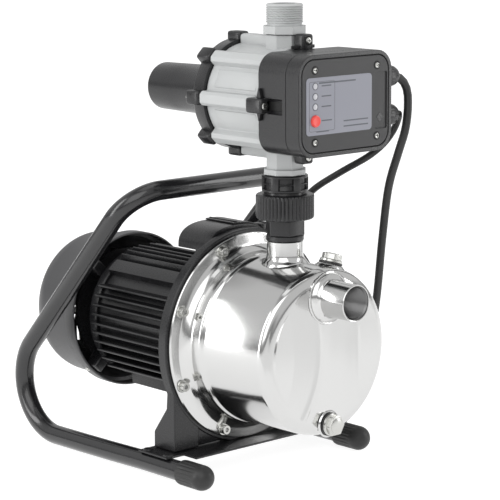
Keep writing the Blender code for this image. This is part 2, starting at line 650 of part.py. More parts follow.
def make_control_box():
    base = slab("control_box_base", [rounded(BOX_HALF_X, BOX_HALF_Z, 20, 6)], BOX_BACK - BOX_SEAM, "plastic_black",
                (0, (BOX_BACK + BOX_SEAM) / 2, BOX_Z), "front")
    join(base, rods("box_boss", None, [(52, 20, (0, BODY_FRONT - GAP - 10, BODY_Z), "front")], 40))
    lug_z = 56.5
    lug_items = [((14, 23, 15), (side * 66, -89.5, BODY_Z)) for side in (-1, 1)]
    lug_items += [((15, 14.2, 17), (0, -85, BOX_Z + side * lug_z)) for side in (-1, 1)]
    join(base, boxes("box_lugs", None, lug_items, 3.0, 1))
    hollow = slab("box_hollow", [rounded(BOX_HALF_X - 3, BOX_HALF_Z - 3, 17, 6)], 60, None,
                  (0, -91 - 30, BOX_Z), "front")
    cut(base, hollow)
    scoops = [(8.5, 20, (side * 70, -111, BODY_Z), "front") for side in (-1, 1)]
    cut(base, rods("box_scoops", None, scoops, 16))
    lid = slab("control_box_lid", [rounded(BOX_HALF_X, BOX_HALF_Z, 20, 6)], BOX_SEAM - GAP - BOX_FRONT,
               "plastic_black", (0, (BOX_SEAM - GAP + BOX_FRONT) / 2, BOX_Z), "front")
    cut(lid, slab("lid_hollow", [rounded(BOX_HALF_X - 3, BOX_HALF_Z - 3, 17, 6)], 30, None,
                  (0, BOX_FRONT + 3 + 15, BOX_Z), "front"))
    cut(lid, slab("label_recess", [rounded(45.3, 28.3, 4.3, 3)], 1.6, None, (-9.2, BOX_FRONT, BOX_Z), "front"))
    cut(lid, slab("side_recess", [rounded(9, 28.3, 2, 2)], 3.2, None, (48.5, BOX_FRONT, BOX_Z), "front"))
    cut(lid, rods("button_hole", None, [(6.1, 20, (-42, BOX_FRONT, 375), "front")], 20))
    turned("reset_button", [(0, 2.5), (5, 2.5), (5.7, 1.8), (5.7, -3.4), (7.5, -3.4), (7.5, -5), (0, -5)],
           "button_red", (-42, BOX_FRONT, 375), "front", 20)
    boxes("circuit_board", "board_green", [((112, 1.6, 84), (0, -104, BOX_Z))])
    for name, z in (("mains_gland", MAINS_GLAND_Z), ("motor_gland", MOTOR_GLAND_Z)):
        turned(name, [(0, 20), (5.5, 20), (5.5, 28), (7, 28), (9.5, 25), (11, 18), (11, 10), (12, 9), (12, 2),
                      (10, GAP), (0, GAP)],
               "plastic_black", (GLAND_X, GLAND_Y, z), "right", 16)


def make_leads():
    """The motor lead runs from gland to gland; the mains lead drops to the floor and is coiled there."""
    end_x = GLAND_X + 21.0
    motor_route = [(end_x, GLAND_Y, MOTOR_GLAND_Z), (94, -121.7, 370), (100.5, -120, 369), (105.5, -114, 362),
                   (107, -106, 350), (102, -97, 336), (88, -88, 323), (79, -58, 305), (76, -22, 284),
                   (78, 4, 262), (76, 18, 245), (69, 21.4, 238.5), (61, 21.4, 238), (52.6, 21.4, 238)]
    tube("motor_lead", smooth_route(motor_route, 11), 3.6, "rubber")
    mains_route = [(end_x, GLAND_Y, MAINS_GLAND_Z), (95, -122.1, 408.9), (101, -124.4, 403.5), (102.5, -127.5, 394),
                   (102.5, -129, 380), (103, -128.5, 365), (104, -124.5, 350), (105.5, -115, 328),
                   (108, -99, 290), (112, -86.5, 234), (118, -72, 163), (125, -50, 95), (131, -22, 38),
                   (132.5, 2, 11), (132.5, 28, LEAD_R + 0.4), (132.7, 55, LEAD_R + 0.2),
                   (132.7, 79, LEAD_R + 0.2)]
    tube("mains_lead", smooth_route(mains_route, 13), LEAD_R, "rubber")
    inner = COIL_MEAN_R - 2 * LEAD_R
    outer = COIL_MEAN_R + 2 * LEAD_R
    turned("mains_coil", [(outer, 16.6), (outer, GAP), (inner, GAP), (inner, 16.6)], "rubber",
           (COIL_X, COIL_Y, 0), "up", 28, ring=True)
    plug_turn = Matrix.Rotation(math.radians(-43), 4, "Z")
    middle = Vector((COIL_X, COIL_Y, 27.2))
    ahead = plug_turn @ Vector((1, 0, 0))
    aside = plug_turn @ Vector((0, 1, 0))
    body = middle - aside * 29
    plug = boxes("mains_plug", "rubber", [((32, 24, 20), tuple(body + ahead * 8), plug_turn)], 4.0, 2)
    blades = [((18, 1.5, 6.4), tuple(body + ahead * 32 + aside * side * 6.35), plug_turn) for side in (-1, 1)]
    join(plug, boxes("plug_blades", None, blades))
    tail = turned("plug_tail", [(0, 26), (5.0, 26), (8.5, 0), (0, 0)], None,
                  tuple(body - ahead * 6), "up", 16)
    tail.rotation_euler = (plug_turn @ Matrix.Rotation(-math.pi / 2, 4, "Y")).to_euler()
    join(plug, tail)


def main():
    make_casing()
    make_flange_bolts()
    make_wet_end()
    make_bracket()
    make_motor()
    make_fan_and_cover()
    make_terminal_box()
    make_frame()
    make_union()
    make_controller_body()
    make_controller_rear()
    make_control_box()
    make_leads()


clear_scene()
PARTS = new_collection("shallow_well_jet_pump")
CUTTERS = new_collection("cutters")
main()
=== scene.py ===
"""Looks of the shallow well jet pump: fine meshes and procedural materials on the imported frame.

The design is written in millimetres: x across, y along the shaft from the casing flange (negative
towards the suction end), z above the floor. Anchors are read from the frame.
"""
import json
from math import asin, copysign, cos, degrees, exp, hypot, inf, log1p, pi, radians, sin, sqrt, tau as TAU

import bmesh
import bpy
from mathutils import Matrix, Vector


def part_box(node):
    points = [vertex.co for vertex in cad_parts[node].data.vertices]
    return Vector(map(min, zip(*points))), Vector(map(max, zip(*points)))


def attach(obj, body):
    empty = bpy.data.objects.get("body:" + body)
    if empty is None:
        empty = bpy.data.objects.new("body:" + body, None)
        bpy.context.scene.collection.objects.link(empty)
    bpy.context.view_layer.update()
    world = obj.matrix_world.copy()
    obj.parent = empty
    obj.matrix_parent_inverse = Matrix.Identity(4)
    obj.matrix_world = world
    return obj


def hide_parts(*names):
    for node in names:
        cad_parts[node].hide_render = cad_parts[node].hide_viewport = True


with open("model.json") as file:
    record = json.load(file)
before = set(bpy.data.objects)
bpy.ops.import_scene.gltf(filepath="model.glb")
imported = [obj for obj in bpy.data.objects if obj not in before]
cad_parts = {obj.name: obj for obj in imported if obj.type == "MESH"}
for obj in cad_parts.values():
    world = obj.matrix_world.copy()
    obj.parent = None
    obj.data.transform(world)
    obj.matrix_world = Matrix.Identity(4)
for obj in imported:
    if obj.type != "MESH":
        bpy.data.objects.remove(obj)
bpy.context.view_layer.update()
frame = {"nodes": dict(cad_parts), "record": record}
MM = 0.001


def centre(name):
    low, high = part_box(name)
    return (low + high) / 2


FLANGE_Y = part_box("pump_casing")[1].y
SHAFT_Z = centre("rotor").z / MM
OUTLET_Y = (centre("union_nut").y - FLANGE_Y) / MM
SUCTION_Z = centre("suction_socket").z / MM
BODY_Z = centre("diaphragm_cover").z / MM
BOX_Z = centre("control_box_lid").z / MM
BOX_FRONT = (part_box("control_box_lid")[0].y - FLANGE_Y) / MM
FLANGE_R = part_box("pump_casing")[1].x / MM
RAIL_X = centre("foot_cap_right").x / MM
LEAD_R = 4.3

# Origins of turned pieces, each on the axis that its name says.
ON_SHAFT = (0, 0, SHAFT_Z)
ON_SUCTION = (0, 0, SUCTION_Z)
ON_OUTLET = (0, OUTLET_Y, 0)
ON_BODY = (0, 0, BODY_Z)


def place(x, y, z):
    return Vector((x * MM, y * MM + FLANGE_Y, z * MM))


TOWARDS = {
    "up": Matrix.Identity(4),
    "front": Matrix.Rotation(pi / 2, 4, "X"),
    "back": Matrix.Rotation(-pi / 2, 4, "X"),
    "right": Matrix.Rotation(pi / 2, 4, "Y"),
    "left": Matrix.Rotation(-pi / 2, 4, "Y"),
}


# ---- materials

def node(tree, kind, **values):
    """Adds a shader node and sets inputs; an underscore stands for the space in an input's name."""
    made = tree.nodes.new("ShaderNode" + kind)
    for name, value in values.items():
        made.inputs[name.replace("_", " ")].default_value = value
    return made


def mix_colour(tree, factor, low, high):
    ramp = node(tree, "ValToRGB")
    ramp.color_ramp.elements[0].color = (*low, 1.0)
    ramp.color_ramp.elements[1].color = (*high, 1.0)
    tree.links.new(factor, ramp.inputs["Fac"])
    return ramp.outputs["Color"]


def spread(tree, factor, low, high):
    remap = node(tree, "MapRange", From_Min=0.25, From_Max=0.75, To_Min=low, To_Max=high)
    tree.links.new(factor, remap.inputs["Value"])
    return remap.outputs["Result"]


def noise(tree, scale, detail=4.0, stretch=(1.0, 1.0, 1.0)):
    place_on = node(tree, "TexCoord")
    mapping = node(tree, "Mapping", Scale=stretch)
    texture = node(tree, "TexNoise", Scale=scale, Detail=detail)
    tree.links.new(place_on.outputs["Object"], mapping.inputs["Vector"])
    tree.links.new(mapping.outputs["Vector"], texture.inputs["Vector"])
    return texture.outputs["Fac"]


def look(name, colour, roughness, metallic=0.0, grain=900.0, bump=0.05, vary=0.12, patches=25.0,
         stretch=(1.0, 1.0, 1.0), coat=0.0, depth=0.0002):
    """A material whose colour, roughness and bump vary with noise at the grain of the real surface."""
    made = bpy.data.materials.new(name)
    made.use_nodes = True
    tree = made.node_tree
    shader = tree.nodes["Principled BSDF"]
    shader.inputs["Metallic"].default_value = metallic
    shader.inputs["Coat Weight"].default_value = coat
    shader.inputs["Coat Roughness"].default_value = 0.08
    wide = noise(tree, patches)
    fine = noise(tree, grain, 3.0, stretch)
    low = tuple(c * (1 - vary) for c in colour)
    high = tuple(min(1.0, c * (1 + vary)) for c in colour)
    tree.links.new(mix_colour(tree, wide, low, high), shader.inputs["Base Color"])
    tree.links.new(spread(tree, fine, roughness * 0.85, roughness * 1.2), shader.inputs["Roughness"])
    bumps = node(tree, "Bump", Strength=bump, Distance=depth)
    tree.links.new(fine, bumps.inputs["Height"])
    tree.links.new(bumps.outputs["Normal"], shader.inputs["Normal"])
    return made


def add_waves(made):
    """Makes polished drawn sheet faintly wavy, under its very fine polishing lines."""
    tree = made.node_tree
    fine_bump = tree.nodes["Principled BSDF"].inputs["Normal"].links[0].from_node
    wave = node(tree, "Bump", Strength=0.25, Distance=0.0012)
    tree.links.new(noise(tree, 16.0, 1.0), wave.inputs["Height"])
    tree.links.new(wave.outputs["Normal"], fine_bump.inputs["Normal"])


# For each kind of surface what look() takes, in its order.
LOOKS = {
    "stainless": ("polished_stainless", (0.58, 0.58, 0.575), 0.13, 1.0, 700.0, 0.03, 0.03, 14.0),
    "zinc": ("bright_zinc", (0.52, 0.52, 0.50), 0.22, 1.0, 900.0, 0.05, 0.06),
    "dark_steel": ("threaded_bore", (0.16, 0.16, 0.16), 0.32, 1.0, 500.0, 0.08, 0.1),
    "steel": ("machined_steel", (0.45, 0.45, 0.46), 0.3, 1.0, 500.0, 0.08, 0.08, 30.0, (1, 1, 8)),
    "iron_black": ("painted_casting", (0.008, 0.008, 0.009), 0.28, 0.0, 1100.0, 0.35, 0.25),
    "gloss_black": ("powder_coat", (0.009, 0.009, 0.01), 0.22, 0.0, 600.0, 0.12, 0.2, 30.0, (1, 1, 1), 0.35),
    "cover_grey": ("fan_cover_grey", (0.045, 0.045, 0.047), 0.4, 0.0, 1300.0, 0.2, 0.15),
    "plastic_black": ("moulded_black", (0.010, 0.010, 0.011), 0.28, 0.0, 1500.0, 0.18, 0.2),
    "panel_black": ("spark_texture_black", (0.026, 0.026, 0.027), 0.44, 0.0, 2200.0, 0.35, 0.12),
    "plastic_grey": ("moulded_grey", (0.42, 0.43, 0.43), 0.38, 0.0, 1500.0, 0.12, 0.05),
    "plastic_white": ("engineering_plastic", (0.7, 0.69, 0.64), 0.45, 0.0, 900.0, 0.1, 0.05),
    "rubber": ("black_rubber", (0.012, 0.012, 0.012), 0.45, 0.0, 1600.0, 0.3, 0.2),
    "brass": ("plain_brass", (0.6, 0.42, 0.15), 0.3, 1.0, 700.0, 0.1, 0.08),
    "copper": ("varnished_copper", (0.5, 0.2, 0.1), 0.35, 0.8, 500.0, 0.5, 0.2, 60.0, (1, 8, 1)),
    "board_green": ("solder_mask", (0.02, 0.17, 0.07), 0.4, 0.0, 700.0, 0.1, 0.15),
    "button_red": ("red_button", (0.72, 0.07, 0.06), 0.3, 0.0, 1200.0, 0.1, 0.06),
    "label": ("printed_film", (0.205, 0.21, 0.245), 0.34, 0.0, 2500.0, 0.1, 0.05, 12.0),
    "label_dark": ("printed_dark", (0.07, 0.075, 0.09), 0.38, 0.0, 2500.0, 0.05, 0.05),
    "lamp": ("lamp_window", (0.45, 0.45, 0.48), 0.2, 0.0, 1500.0, 0.05, 0.05, 25.0, (1, 1, 1), 0.5),
    # Painted shade: a near-black matte look laid in grooves, scoops and rings round screw heads, where shade
    # falls.
    "void": ("deep_shadow", (0.003, 0.003, 0.003), 0.7, 0.0, 900.0, 0.1, 0.3),
}


def material(kind):
    """The material of a kind of surface, made when it is first asked for."""
    name = LOOKS[kind][0]
    if name not in bpy.data.materials:
        made = look(*LOOKS[kind])
        if kind == "stainless":
            add_waves(made)
    return bpy.data.materials[name]


# ---- mesh building

def link(name, data):
    """Puts a new object with this data into the scene."""
    obj = bpy.data.objects.new(name, data)
    bpy.context.scene.collection.objects.link(obj)
    return obj


def register(obj, body, replaces):
    """Parents the piece to its body's empty and hides the CAD nodes that it stands for."""
    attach(obj, body)
    if replaces:
        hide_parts(*([replaces] if isinstance(replaces, str) else replaces))
    return obj


def add(name, mesh, kind, where=None, turn=None, angle=32.0, body="pump", replaces=()):
    """Links a piece with its material, smooth shading and body."""
    obj = link(name, mesh)
    mesh.materials.clear()
    mesh.materials.append(material(kind))
    for face in mesh.polygons:
        face.use_smooth = True
    mesh.set_sharp_from_angle(angle=radians(angle))
    shift = Matrix.Translation(place(*where)) if where is not None else Matrix.Identity(4)
    obj.matrix_world = shift @ (turn if turn is not None else Matrix.Identity(4))
    return register(obj, body, replaces)


def mesh_from(bm, name):
    mesh = bpy.data.meshes.new(name)
    bm.to_mesh(mesh)
    bm.free()
    return mesh


def lathe_mesh(profile, steps=96, wave=None):
    """Turns (radius, height) points round Z; wave(angle, radius, height) can change each radius.

    A profile that doesn't start on the axis closes on itself.
    """
    bm = bmesh.new()
    rings = []
    for r, h in profile:
        if r < 0.001:
            rings.append([bm.verts.new((0, 0, h * MM))])
            continue
        row = []
        for i in range(steps):
            a = TAU * i / steps
            q = wave(a, r, h) if wave else r
            row.append(bm.verts.new((q * cos(a) * MM, q * sin(a) * MM, h * MM)))
        rings.append(row)
    pairs = list(zip(rings, rings[1:]))
    if len(rings[0]) > 1:
        pairs.append((rings[-1], rings[0]))
    for upper, lower in pairs:
        for i in range(steps):
            j = (i + 1) % steps
            if len(upper) == 1 and len(lower) > 1:
                bm.faces.new((upper[0], lower[i], lower[j]))
            elif len(lower) == 1 and len(upper) > 1:
                bm.faces.new((upper[i], lower[0], upper[j]))
            elif len(upper) > 1:
                bm.faces.new((upper[i], lower[i], lower[j], upper[j]))
    bmesh.ops.recalc_face_normals(bm, faces=bm.faces)
    return mesh_from(bm, "turned")


def lathe(name, profile, kind, where, towards="up", steps=96, wave=None, turn=None, **more):
    mesh = lathe_mesh(profile, steps, wave)
    return add(name, mesh, kind, where, turn if turn is not None else TOWARDS[towards], **more)


def prism_mesh(outlines, thickness):
    """A plate from closed outlines in X and Y, centred on Z; inner outlines are holes."""
    curve = bpy.data.curves.new("outline", "CURVE")
    curve.dimensions = "2D"
    curve.fill_mode = "BOTH"
    curve.extrude = thickness * MM / 2
    for outline in outlines:
        spline = curve.splines.new("POLY")
        spline.points.add(len(outline) - 1)
        for point, (x, y) in zip(spline.points, outline):
            point.co = (x * MM, y * MM, 0.0, 1.0)
        spline.use_cyclic_u = True
    holder = link("outline", curve)
    graph = bpy.context.evaluated_depsgraph_get()
    mesh = bpy.data.meshes.new_from_object(holder.evaluated_get(graph))
    bpy.data.objects.remove(holder, do_unlink=True)
    bm = bmesh.new()
    bm.from_mesh(mesh)
    bmesh.ops.remove_doubles(bm, verts=bm.verts, dist=0.000005)
    bmesh.ops.dissolve_limit(bm, angle_limit=0.002, verts=bm.verts, edges=bm.edges)
    bm.to_mesh(mesh)
    bm.free()
    return mesh


def prism(name, outlines, thickness, kind, where, towards="up", bevel=0.0, segments=3, turn=None, **more):
    obj = add(name, prism_mesh(outlines, thickness), kind, where,
              turn if turn is not None else TOWARDS[towards], **more)
    if bevel:
        soften(obj, bevel, segments)
    return obj


def soften(obj, width, segments=3, angle=35.0):
    """Rounds the edges that are sharper than the angle."""
    bevel = obj.modifiers.new("edges", "BEVEL")
    bevel.width = width * MM
    bevel.segments = segments
    bevel.limit_method = "ANGLE"
    bevel.angle_limit = radians(angle)
    bevel.harden_normals = True
    return obj


def blocks(name, items, kind, bevel=1.0, segments=3, **more):
    """One mesh of rounded blocks, each (size, centre) or (size, centre, turn), in millimetres."""
    bm = bmesh.new()
    for size, where, *turn in items:
        matrix = Matrix.Translation(place(*where)) @ (turn[0] if turn else Matrix.Identity(4))
        scale = Matrix.Diagonal((*(Vector(size) * MM), 1.0))
        made = bmesh.ops.create_cube(bm, size=1.0, matrix=matrix @ scale)
        edges = list({e for v in made["verts"] for e in v.link_edges})
        bmesh.ops.bevel(bm, geom=edges, offset=bevel * MM, segments=segments, affect="EDGES", profile=0.5)
    return add(name, mesh_from(bm, name), kind, **more)


# Stands a plate upright, its outline in Y and Z and its thickness along X.
SIDEWAYS = Matrix(((0, 0, 1, 0), (1, 0, 0, 0), (0, 1, 0, 0), (0, 0, 0, 1)))


def apply_all(obj):
    with bpy.context.temp_override(object=obj, active_object=obj, selected_objects=[obj]):
        for modifier in list(obj.modifiers):
            bpy.ops.object.modifier_apply(modifier=modifier.name)


def cut_with(obj, mesh, matrix):
    """Subtracts a closed mesh from the piece."""
    tool = link("tool", mesh)
    tool.matrix_world = matrix
    boolean = obj.modifiers.new("cut", "BOOLEAN")
    boolean.operation = "DIFFERENCE"
    boolean.solver = "EXACT"
    boolean.object = tool
    apply_all(obj)
    bpy.data.objects.remove(tool, do_unlink=True)


def carve(obj, holes):
    """Subtracts round holes, each (radius, depth, centre, direction)."""
    for radius, depth, where, towards in holes:
        bm = bmesh.new()
        bmesh.ops.create_cone(bm, cap_ends=True, segments=64, radius1=radius * MM, radius2=radius * MM,
                              depth=depth * MM)
        cut_with(obj, mesh_from(bm, "tool"), Matrix.Translation(place(*where)) @ TOWARDS[towards])


def joined(name, pieces):
    """Applies the modifiers of finished pieces that share a body and joins them into the first one, which
    takes the name.
    """
    for obj in pieces:
        apply_all(obj)
    first = pieces[0]
    with bpy.context.temp_override(object=first, active_object=first, selected_objects=pieces,
                                   selected_editable_objects=pieces):
        bpy.ops.object.join()
    first.name = name
    return first


def polar(radius, angle, at=(0.0, 0.0)):
    return at[0] + radius * cos(angle), at[1] + radius * sin(angle)


def around(angle, reach, y, axis_z):
    """Centre and turn of something set round a level axis, as a clock's hand would point to it."""
    turn = Matrix.Rotation(angle, 4, "Y")
    where = turn @ Vector((reach, y, 0))
    return (where.x, where.y, where.z + axis_z), turn


def arc(centre_at, radius, start, stop, count):
    """Points along an arc between two angles in degrees."""
    angles = [radians(start + (stop - start) * i / count) for i in range(count + 1)]
    return [polar(radius, a, centre_at) for a in angles]


def circle(radius, count, at=(0.0, 0.0), phase=0.0):
    return [polar(radius, TAU * i / count + phase, at) for i in range(count)]


def rounded(half_x, half_y, radius, count=10, at=(0.0, 0.0)):
    """Outline of a rectangle with round corners of count steps each."""
    points = []
    for turn, (sx, sy) in enumerate(((1, 1), (-1, 1), (-1, -1), (1, -1))):
        corner = (at[0] + sx * (half_x - radius), at[1] + sy * (half_y - radius))
        points += arc(corner, radius, 90 * turn, 90 * turn + 90, count)
    return points


def smooth_route(points, step):
    """Points every step millimetres along a smooth curve through the route's own points."""
    knots = [Vector(p) for p in points]
    ends = [2 * knots[0] - knots[1], *knots, 2 * knots[-1] - knots[-2]]
    dense = []
    for a, b, c, d in zip(ends, ends[1:], ends[2:], ends[3:]):
        for i in range(20):
            t = i / 20
            dense.append(0.5 * (2 * b + (c - a) * t + (2 * a - 5 * b + 4 * c - d) * t * t
                                + (3 * b - a - 3 * c + d) * t ** 3))
    dense.append(knots[-1])
    route = [dense[0]]
    for point in dense[1:-1]:
        if (point - route[-1]).length >= step and (dense[-1] - point).length >= step * 0.6:
            route.append(point)
    return [tuple(p) for p in (*route, dense[-1])]


def bar(name, points, radius, kind, body="pump", replaces=(), resolution=8):
    """A round bar or cord along design points: a curve of one open spline with filled ends."""
    curve = bpy.data.curves.new(name, "CURVE")
    curve.dimensions = "3D"
    curve.bevel_depth = radius * MM
    curve.bevel_resolution = resolution
    curve.use_fill_caps = True
    spline = curve.splines.new("POLY")
    spline.points.add(len(points) - 1)
    for point, position in zip(spline.points, points):
        point.co = (*place(*position), 1.0)
    spline.use_smooth = True
    curve.materials.append(material(kind))
    obj = link(name, curve)
    return register(obj, body, replaces)


# ---- camera, light, floor

def make_camera():
    """A long lens from the front left, a little above."""
    azimuth, pitch, roll = radians(-42.2), radians(10.11), radians(-0.3)
    aim, distance = place(2.1, -1.9, 225.1), 2.1858
    level = cos(pitch)
    ahead = Vector((-sin(azimuth) * level, cos(azimuth) * level, -sin(pitch)))
    camera = link("camera", bpy.data.cameras.new("camera"))
    camera.data.sensor_width = 36.0
    camera.data.lens = 151.2
    camera.data.clip_end = 200.0
    turn = ahead.to_track_quat("-Z", "Y").to_matrix().to_4x4() @ Matrix.Rotation(roll, 4, "Z")
    camera.matrix_world = Matrix.Translation(aim - ahead * distance) @ turn
    bpy.context.scene.camera = camera


def make_light(name, where, size, power):
    """A rectangular light that faces the middle of the object."""
    middle = place(0, 0, 220)
    light = bpy.data.lights.new(name, "AREA")
    light.shape = "RECTANGLE"
    light.size, light.size_y = size
    light.energy = power
    obj = link(name, light)
    obj.location = place(*where)
    obj.rotation_euler = (middle - obj.location).to_track_quat("-Z", "Y").to_euler()


def paint_floor_shade(tree):
    """Painted shade: a darker glow on the floor well in front of the object, which polished faces pick up.
    """
    shader = tree.nodes["Principled BSDF"]
    where = node(tree, "TexCoord")
    split = node(tree, "SeparateXYZ")
    fade = node(tree, "MapRange", From_Min=-0.66, From_Max=-0.56)
    tree.links.new(where.outputs["Object"], split.inputs["Vector"])
    tree.links.new(split.outputs["Y"], fade.inputs["Value"])
    tree.links.new(mix_colour(tree, fade.outputs["Result"], (0.8, 0.8, 0.8), (1.0, 1.0, 1.0)),
                   shader.inputs["Emission Color"])


def make_world():
    """Grey surroundings with a brighter belt above the horizon."""
    world = bpy.data.worlds.new("studio")
    bpy.context.scene.world = world
    world.use_nodes = True
    tree = world.node_tree
    background = tree.nodes["Background"]
    background.inputs["Strength"].default_value = 1.0
    direction = node(tree, "TexCoord")
    split = node(tree, "SeparateXYZ")
    ramp = node(tree, "ValToRGB")
    ramp.color_ramp.elements[0].position = 0.0
    ramp.color_ramp.elements[0].color = (0.5, 0.5, 0.5, 1)
    ramp.color_ramp.elements[1].position = 1.0
    ramp.color_ramp.elements[1].color = (0.25, 0.25, 0.25, 1)
    for position, level in ((0.49, 0.5), (0.51, 0.26), (0.55, 0.4), (0.62, 0.8), (0.9, 0.78), (0.97, 0.35)):
        element = ramp.color_ramp.elements.new(position)
        element.color = (level, level, level, 1)
    remap = node(tree, "MapRange", From_Min=-1.0)
    tree.links.new(direction.outputs["Generated"], split.inputs["Vector"])
    tree.links.new(split.outputs["Z"], remap.inputs["Value"])
    tree.links.new(remap.outputs["Result"], ramp.inputs["Fac"])
    tree.links.new(ramp.outputs["Color"], background.inputs["Color"])


def make_studio():
    """A pale floor that glows a little, with painted shade on it in front of the object, and four lights."""
    scene = bpy.context.scene
    scene.view_settings.view_transform = "Standard"
    make_world()
    bm = bmesh.new()
    bmesh.ops.create_grid(bm, x_segments=8, y_segments=8, size=40.0)
    floor = link("floor", mesh_from(bm, "floor"))
    pale = look("pale_floor", (0.35, 0.35, 0.35), 0.8, 0.0, 60.0, 0.02, 0.01, 3.0)
    pale.node_tree.nodes["Principled BSDF"].inputs["Emission Strength"].default_value = 0.9
    floor.data.materials.append(pale)
    # Painted shade on the floor's glow in front of the object.
    paint_floor_shade(pale.node_tree)
    make_light("key", (-1500, -1100, 1500), (2.0, 2.0), 20.0)
    make_light("right_strip", (1300, -1200, 700), (0.35, 1.5), 7.0)
    make_light("left_strip", (-1500, 700, 800), (0.5, 1.6), 12.0)
    make_light("top", (0, -100, 2000), (1.2, 1.2), 5.0)


# ---- leads

MOTOR_EXIT = (85.0, -122.0, 370.0)
MAINS_EXIT = (85.0, -122.0, 409.0)
MOTOR_ROUTE = [MOTOR_EXIT, (94, -121.7, 370), (100.5, -120, 369), (105.5, -114, 362), (107, -106, 350),
               (102, -97, 336), (88, -88, 323), (79, -58, 305), (76, -22, 284), (78, 4, 262), (76, 18, 245),
               (69, 21.4, 238.5), (61, 21.4, 238), (52.6, 21.4, 238)]
MAINS_ROUTE = [MAINS_EXIT, (92, -122, 408.6), (99, -122.6, 405.8), (104.6, -123.6, 400.4),
               (107.4, -124.8, 393), (107.6, -126, 384), (106.4, -126.6, 368), (105.2, -124, 350),
               (105.5, -115, 328), (108, -99, 290), (112, -86.5, 234), (118, -72, 163), (125, -50, 95),
               (131, -22, 38), (132.5, 2, 11), (132.5, 28, LEAD_R + 0.4), (132.7, 55, LEAD_R + 0.2),
               (132.7, 79, LEAD_R + 0.2)]
PLUG_Z = 27.2


def ease(turns, begin):
    """From 0 to 1 over the third of a turn in which the lead changes its place in the coil."""
    return 0.5 - 0.5 * cos(pi * min(1.0, max(0.0, (turns - begin) / 0.35)))


def coil_points(hub):
    """Two and a half turns, the second inside the first and the rest on top, then a bend into the plug."""
    outer, inner, bend = 53.3, 44.6, 30.0
    rest_z, layer = LEAD_R + 0.2, 8.4
    turn_steps, bend_steps = 40, 12
    points = [(132.7, hub.y - 20, rest_z)]
    for i in range(5 * turn_steps // 2 + 1):
        turns = i / turn_steps
        radius = outer + (inner - outer) * ease(turns, 0.8)
        points.append((*polar(radius, pi - TAU * turns, hub), rest_z + layer * ease(turns, 1.8)))
    top_z = points[-1][2]
    for i in range(1, bend_steps + 1):
        part = i / bend_steps
        z = top_z + (PLUG_Z - top_z) * (0.5 - 0.5 * cos(pi * part))
        points.append((*polar(bend, -pi / 2 * part, (hub.x + inner - bend, hub.y)), z))
    x, y, z = points[-1]
    return [*points, (x - 6, y, z), (x - 12, y, z)]


def make_plug(tail_end):
    """Two-blade plug with a tapered, ribbed tail that takes the lead; it lies on the coil."""
    x, y, z = tail_end
    body = [((30, 23, 19), (x - 40, y, z)), ((8, 19, 16), (x - 24.5, y, z))]
    grips = [((1.6, 24, 14), (x - 33 - 4 * i, y, z)) for i in range(4)]
    pins = [((17, 1.5, 6.4), (x - 62, y + side * 6.35, z)) for side in (-1, 1)]
    tail = [(4.4, 0.4), (5.6, 0), (5.9, 1.5)]
    for i in range(6):
        start = 3.0 + i * 3.3
        radius = 6.0 + 0.4 * i
        tail += [(radius, start), (radius, start + 2.0)]
        tail += [(radius - 1.0, start + 2.3), (radius - 1.0, start + 3.1)]
    tail += [(8.4, 23.5), (8.4, 27), (4.4, 27)]
    pieces = [blocks("plug_body", body, "rubber", 3.5, 4, replaces="mains_plug"),
              blocks("plug_grips", grips, "rubber", 0.5, 2),
              lathe("plug_tail", tail, "rubber", tail_end, "left", 48),
              blocks("plug_blades", pins, "zinc", 0.4, 2)]
    return joined("plug_moulding", pieces)


def make_tie(hub):
    """A flat strap round the turns."""
    angle = radians(60)
    outlines = [rounded(10.2, 8.9, 4.4, 8), rounded(9.5, 8.3, 3.8, 8)]
    turn = Matrix.Rotation(angle, 4, "Z") @ TOWARDS["front"]
    return prism("tie_strap", outlines, 9, "plastic_black", (*polar(49.2, angle, hub), 9.0), turn=turn)


def make_leads():
    bar("motor_lead_cable", smooth_route(MOTOR_ROUTE, 5), 3.6, "rubber", replaces="motor_lead",
        resolution=6)
    middle = centre("mains_coil")
    hub = Vector((middle.x / MM, (middle.y - FLANGE_Y) / MM, 0))
    route = smooth_route(MAINS_ROUTE, 7) + coil_points(hub)
    lead = bar("mains_lead_cable", route, LEAD_R, "rubber", replaces=("mains_lead", "mains_coil"),
               resolution=6)
    plug = make_plug((route[-1][0] + 8, route[-1][1], route[-1][2]))
    tie = make_tie(hub)


# ---- wet end

THREAD_PITCH = 2.31

def segment_distance(x, z, line):
    """Distance from a point to a line of straight segments."""
    best = inf
    for (ax, az), (bx, bz) in zip(line, line[1:]):
        dx, dz = bx - ax, bz - az
        t = max(0.0, min(1.0, ((x - ax) * dx + (z - az) * dz) / (dx * dx + dz * dz)))
        best = min(best, hypot(x - ax - t * dx, z - az - t * dz))
    return best


# The two pressed creases of the casing's front, from top to bottom, in x and z.
LEFT_CREASE = [(-12 - (z - 135) ** 2 * (0.0029 if z > 135 else 0.0056), z) for z in range(205, 61, -4)]
RIGHT_CREASE = [(36, 176), (41, 156), (43, 107), (45, 85)]


def crease_x(line, z):
    """Where a crease crosses the height z."""
    for (ax, az), (bx, bz) in zip(line, line[1:]):
        if az >= z >= bz:
            return ax + (bx - ax) * (az - z) / (az - bz)
    return line[0][0] if z > line[0][1] else line[-1][0]


def face_relief(x, z):
    """Height of the pressed front: a facet falls away outside each crease, with a shallow dish between."""
    left = crease_x(LEFT_CREASE, z) - x
    right = x - crease_x(RIGHT_CREASE, z)
    blend = 2.0
    relief = 0.0
    for line, distance, slope, ridge, width in ((LEFT_CREASE, left, 0.06, 0.7, 3.0),
                                                (RIGHT_CREASE, right, 0.04, 0.5, 2.6)):
        relief -= slope * blend * log1p(exp(min(30.0, distance / blend)))
        relief += ridge * exp(-(segment_distance(x, z, line) / width) ** 2)
    dish = 0.9 * exp(-((x - 14) / 20) ** 4) * exp(-((z - 130) / 55) ** 4)
    return relief - dish


